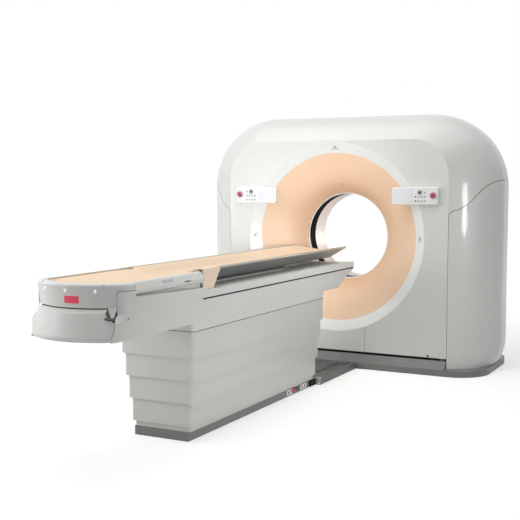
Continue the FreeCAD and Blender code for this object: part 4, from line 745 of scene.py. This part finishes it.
def floor_white():
    """A white studio floor that keeps the soft shadow near the object."""
    finish = Finish("studio_floor")
    finish.colour(finish.mix(finish.noise(scale=0.8, detail=2.0), *FLOOR_TONES))
    finish.set("Roughness", 0.9)
    finish.set("Specular IOR Level", 0.0)
    finish.set("Emission Color", WHITE)
    away = finish.tree.nodes.new("ShaderNodeVectorMath")
    away.operation = "DISTANCE"
    away.inputs[1].default_value = FLOOR_MIDDLE
    finish.link(finish.place, away.inputs[0])
    lift = finish.span(away.outputs["Value"], SHADOW_REACH, WHITE_REACH, LIFT_NEAR, LIFT_FAR)
    seen = finish.tree.nodes.new("ShaderNodeMath")
    seen.operation = "MULTIPLY"
    finish.link(lift, seen.inputs[0])
    finish.link(eye_rays(finish.tree), seen.inputs[1])
    finish.link(seen.outputs["Value"], finish.shader.inputs["Emission Strength"])
    return finish


floor_mesh = bpy.data.meshes.new("floor")
floor_mesh.from_pydata([(-FLOOR_REACH, -FLOOR_REACH, 0), (FLOOR_REACH, -FLOOR_REACH, 0),
                        (FLOOR_REACH, FLOOR_REACH, 0), (-FLOOR_REACH, FLOOR_REACH, 0)],
                       [], [(0, 1, 2, 3)])
floor_mesh.materials.append(floor_white().material)
floor = bpy.data.objects.new("floor", floor_mesh)
bpy.context.scene.collection.objects.link(floor)


def lamp(name, place, target, width, height, power, spread=180):
    """A soft rectangular lamp aimed at a point; spread is its cone in degrees."""
    data = bpy.data.lights.new(name, "AREA")
    data.shape = "RECTANGLE"
    data.size = width
    data.size_y = height
    data.energy = power
    data.spread = math.radians(spread)
    thing = bpy.data.objects.new(name, data)
    bpy.context.scene.collection.objects.link(thing)
    thing.location = place
    thing.rotation_euler = (Vector(target) - Vector(place)).to_track_quat("-Z", "Y").to_euler()
    thing.visible_camera = False


# wide lamps for the whole object
lamp("overhead", (0.0, -2.0, 6.0), (0.0, -2.0, 0.0), 8.0, 8.0, 213.0)
lamp("key_far", (-6.2, -7.4, 1.9), (-0.8, 0.0, 1.3), 3.6, 3.4, 26.0)
lamp("key_near", (-4.0, -3.2, 2.2), (-0.3, 0.2, 1.3), 2.2, 2.0, 69.0)
lamp("key_high", (-3.0, -6.0, 4.5), (-0.4, 0.0, 1.2), 3.0, 2.4, 58.0)
lamp("top_front", (-0.2, -2.8, 4.5), (-0.3, 0.0, 1.4), 1.7, 1.6, 22.5)
lamp("right_far", (7.0, -3.0, 2.0), (1.2, 0.4, 1.2), 3.0, 3.0, 16.0)
# narrow ones for the table's side and foot, the bore, the ring's top and the pad's head end
lamp("table_side", (3.6, -3.6, 0.8), (0.2, -1.8, 0.55), 1.6, 1.0, 3.6, spread=50)
lamp("table_foot", (-3.2, -5.6, 1.3), (-0.3, -3.3, 0.82), 0.8, 0.8, 1.1, spread=30)
lamp("bore", (3.8, -5.8, 1.3), (-0.45, 0.1, 1.15), 0.7, 0.6, 1.2, spread=14)
lamp("ring_top", (1.9, -4.4, 0.3), (0.0, 0.05, 1.62), 0.5, 0.4, 0.35, spread=14)
lamp("through", (2.4, 4.2, 1.35), (-0.4, 0.75, 1.05), 0.7, 0.7, 1.3, spread=16)
lamp("pad_head", (0.3, -1.9, 4.2), (0.0, -0.75, 0.97), 1.0, 1.0, 0.42, spread=18)
# its reflection is the bright strip on the right side cover
lamp("strip", (6.61, -3.10, 1.12), (1.06, 0.08, 1.12), 0.46, 0.70, 34.0)

AMBIENT, BACKGROUND = 0.12, 1.0
world = bpy.data.worlds.new("studio")
bpy.context.scene.world = world
world.use_nodes = True
tree = world.node_tree
tree.nodes.clear()
choose = tree.nodes.new("ShaderNodeMixShader")
tree.links.new(eye_rays(tree), choose.inputs["Fac"])
for socket, strength in ((1, AMBIENT), (2, BACKGROUND)):
    sky = tree.nodes.new("ShaderNodeBackground")
    sky.inputs["Color"].default_value = WHITE
    sky.inputs["Strength"].default_value = strength
    tree.links.new(sky.outputs["Background"], choose.inputs[socket])
output = tree.nodes.new("ShaderNodeOutputWorld")
tree.links.new(choose.outputs["Shader"], output.inputs["Surface"])

SENSOR = 36.0
FOCAL_PIXELS, FRAME_PIXELS = 951.8, 520
CAMERA_PLACE = (3.055, -7.122, 1.498)
CAMERA_YAW, CAMERA_PITCH = 27.620, -4.689
camera_data = bpy.data.cameras.new("camera")
camera_data.sensor_width = SENSOR
camera_data.lens = FOCAL_PIXELS / FRAME_PIXELS * SENSOR
camera_data.clip_end = 200.0
camera = bpy.data.objects.new("camera", camera_data)
bpy.context.scene.collection.objects.link(camera)
camera.location = CAMERA_PLACE
camera.rotation_euler = (math.radians(90 + CAMERA_PITCH), 0.0, math.radians(CAMERA_YAW))
bpy.context.scene.camera = camera
bpy.context.scene.view_settings.view_transform = "Standard"
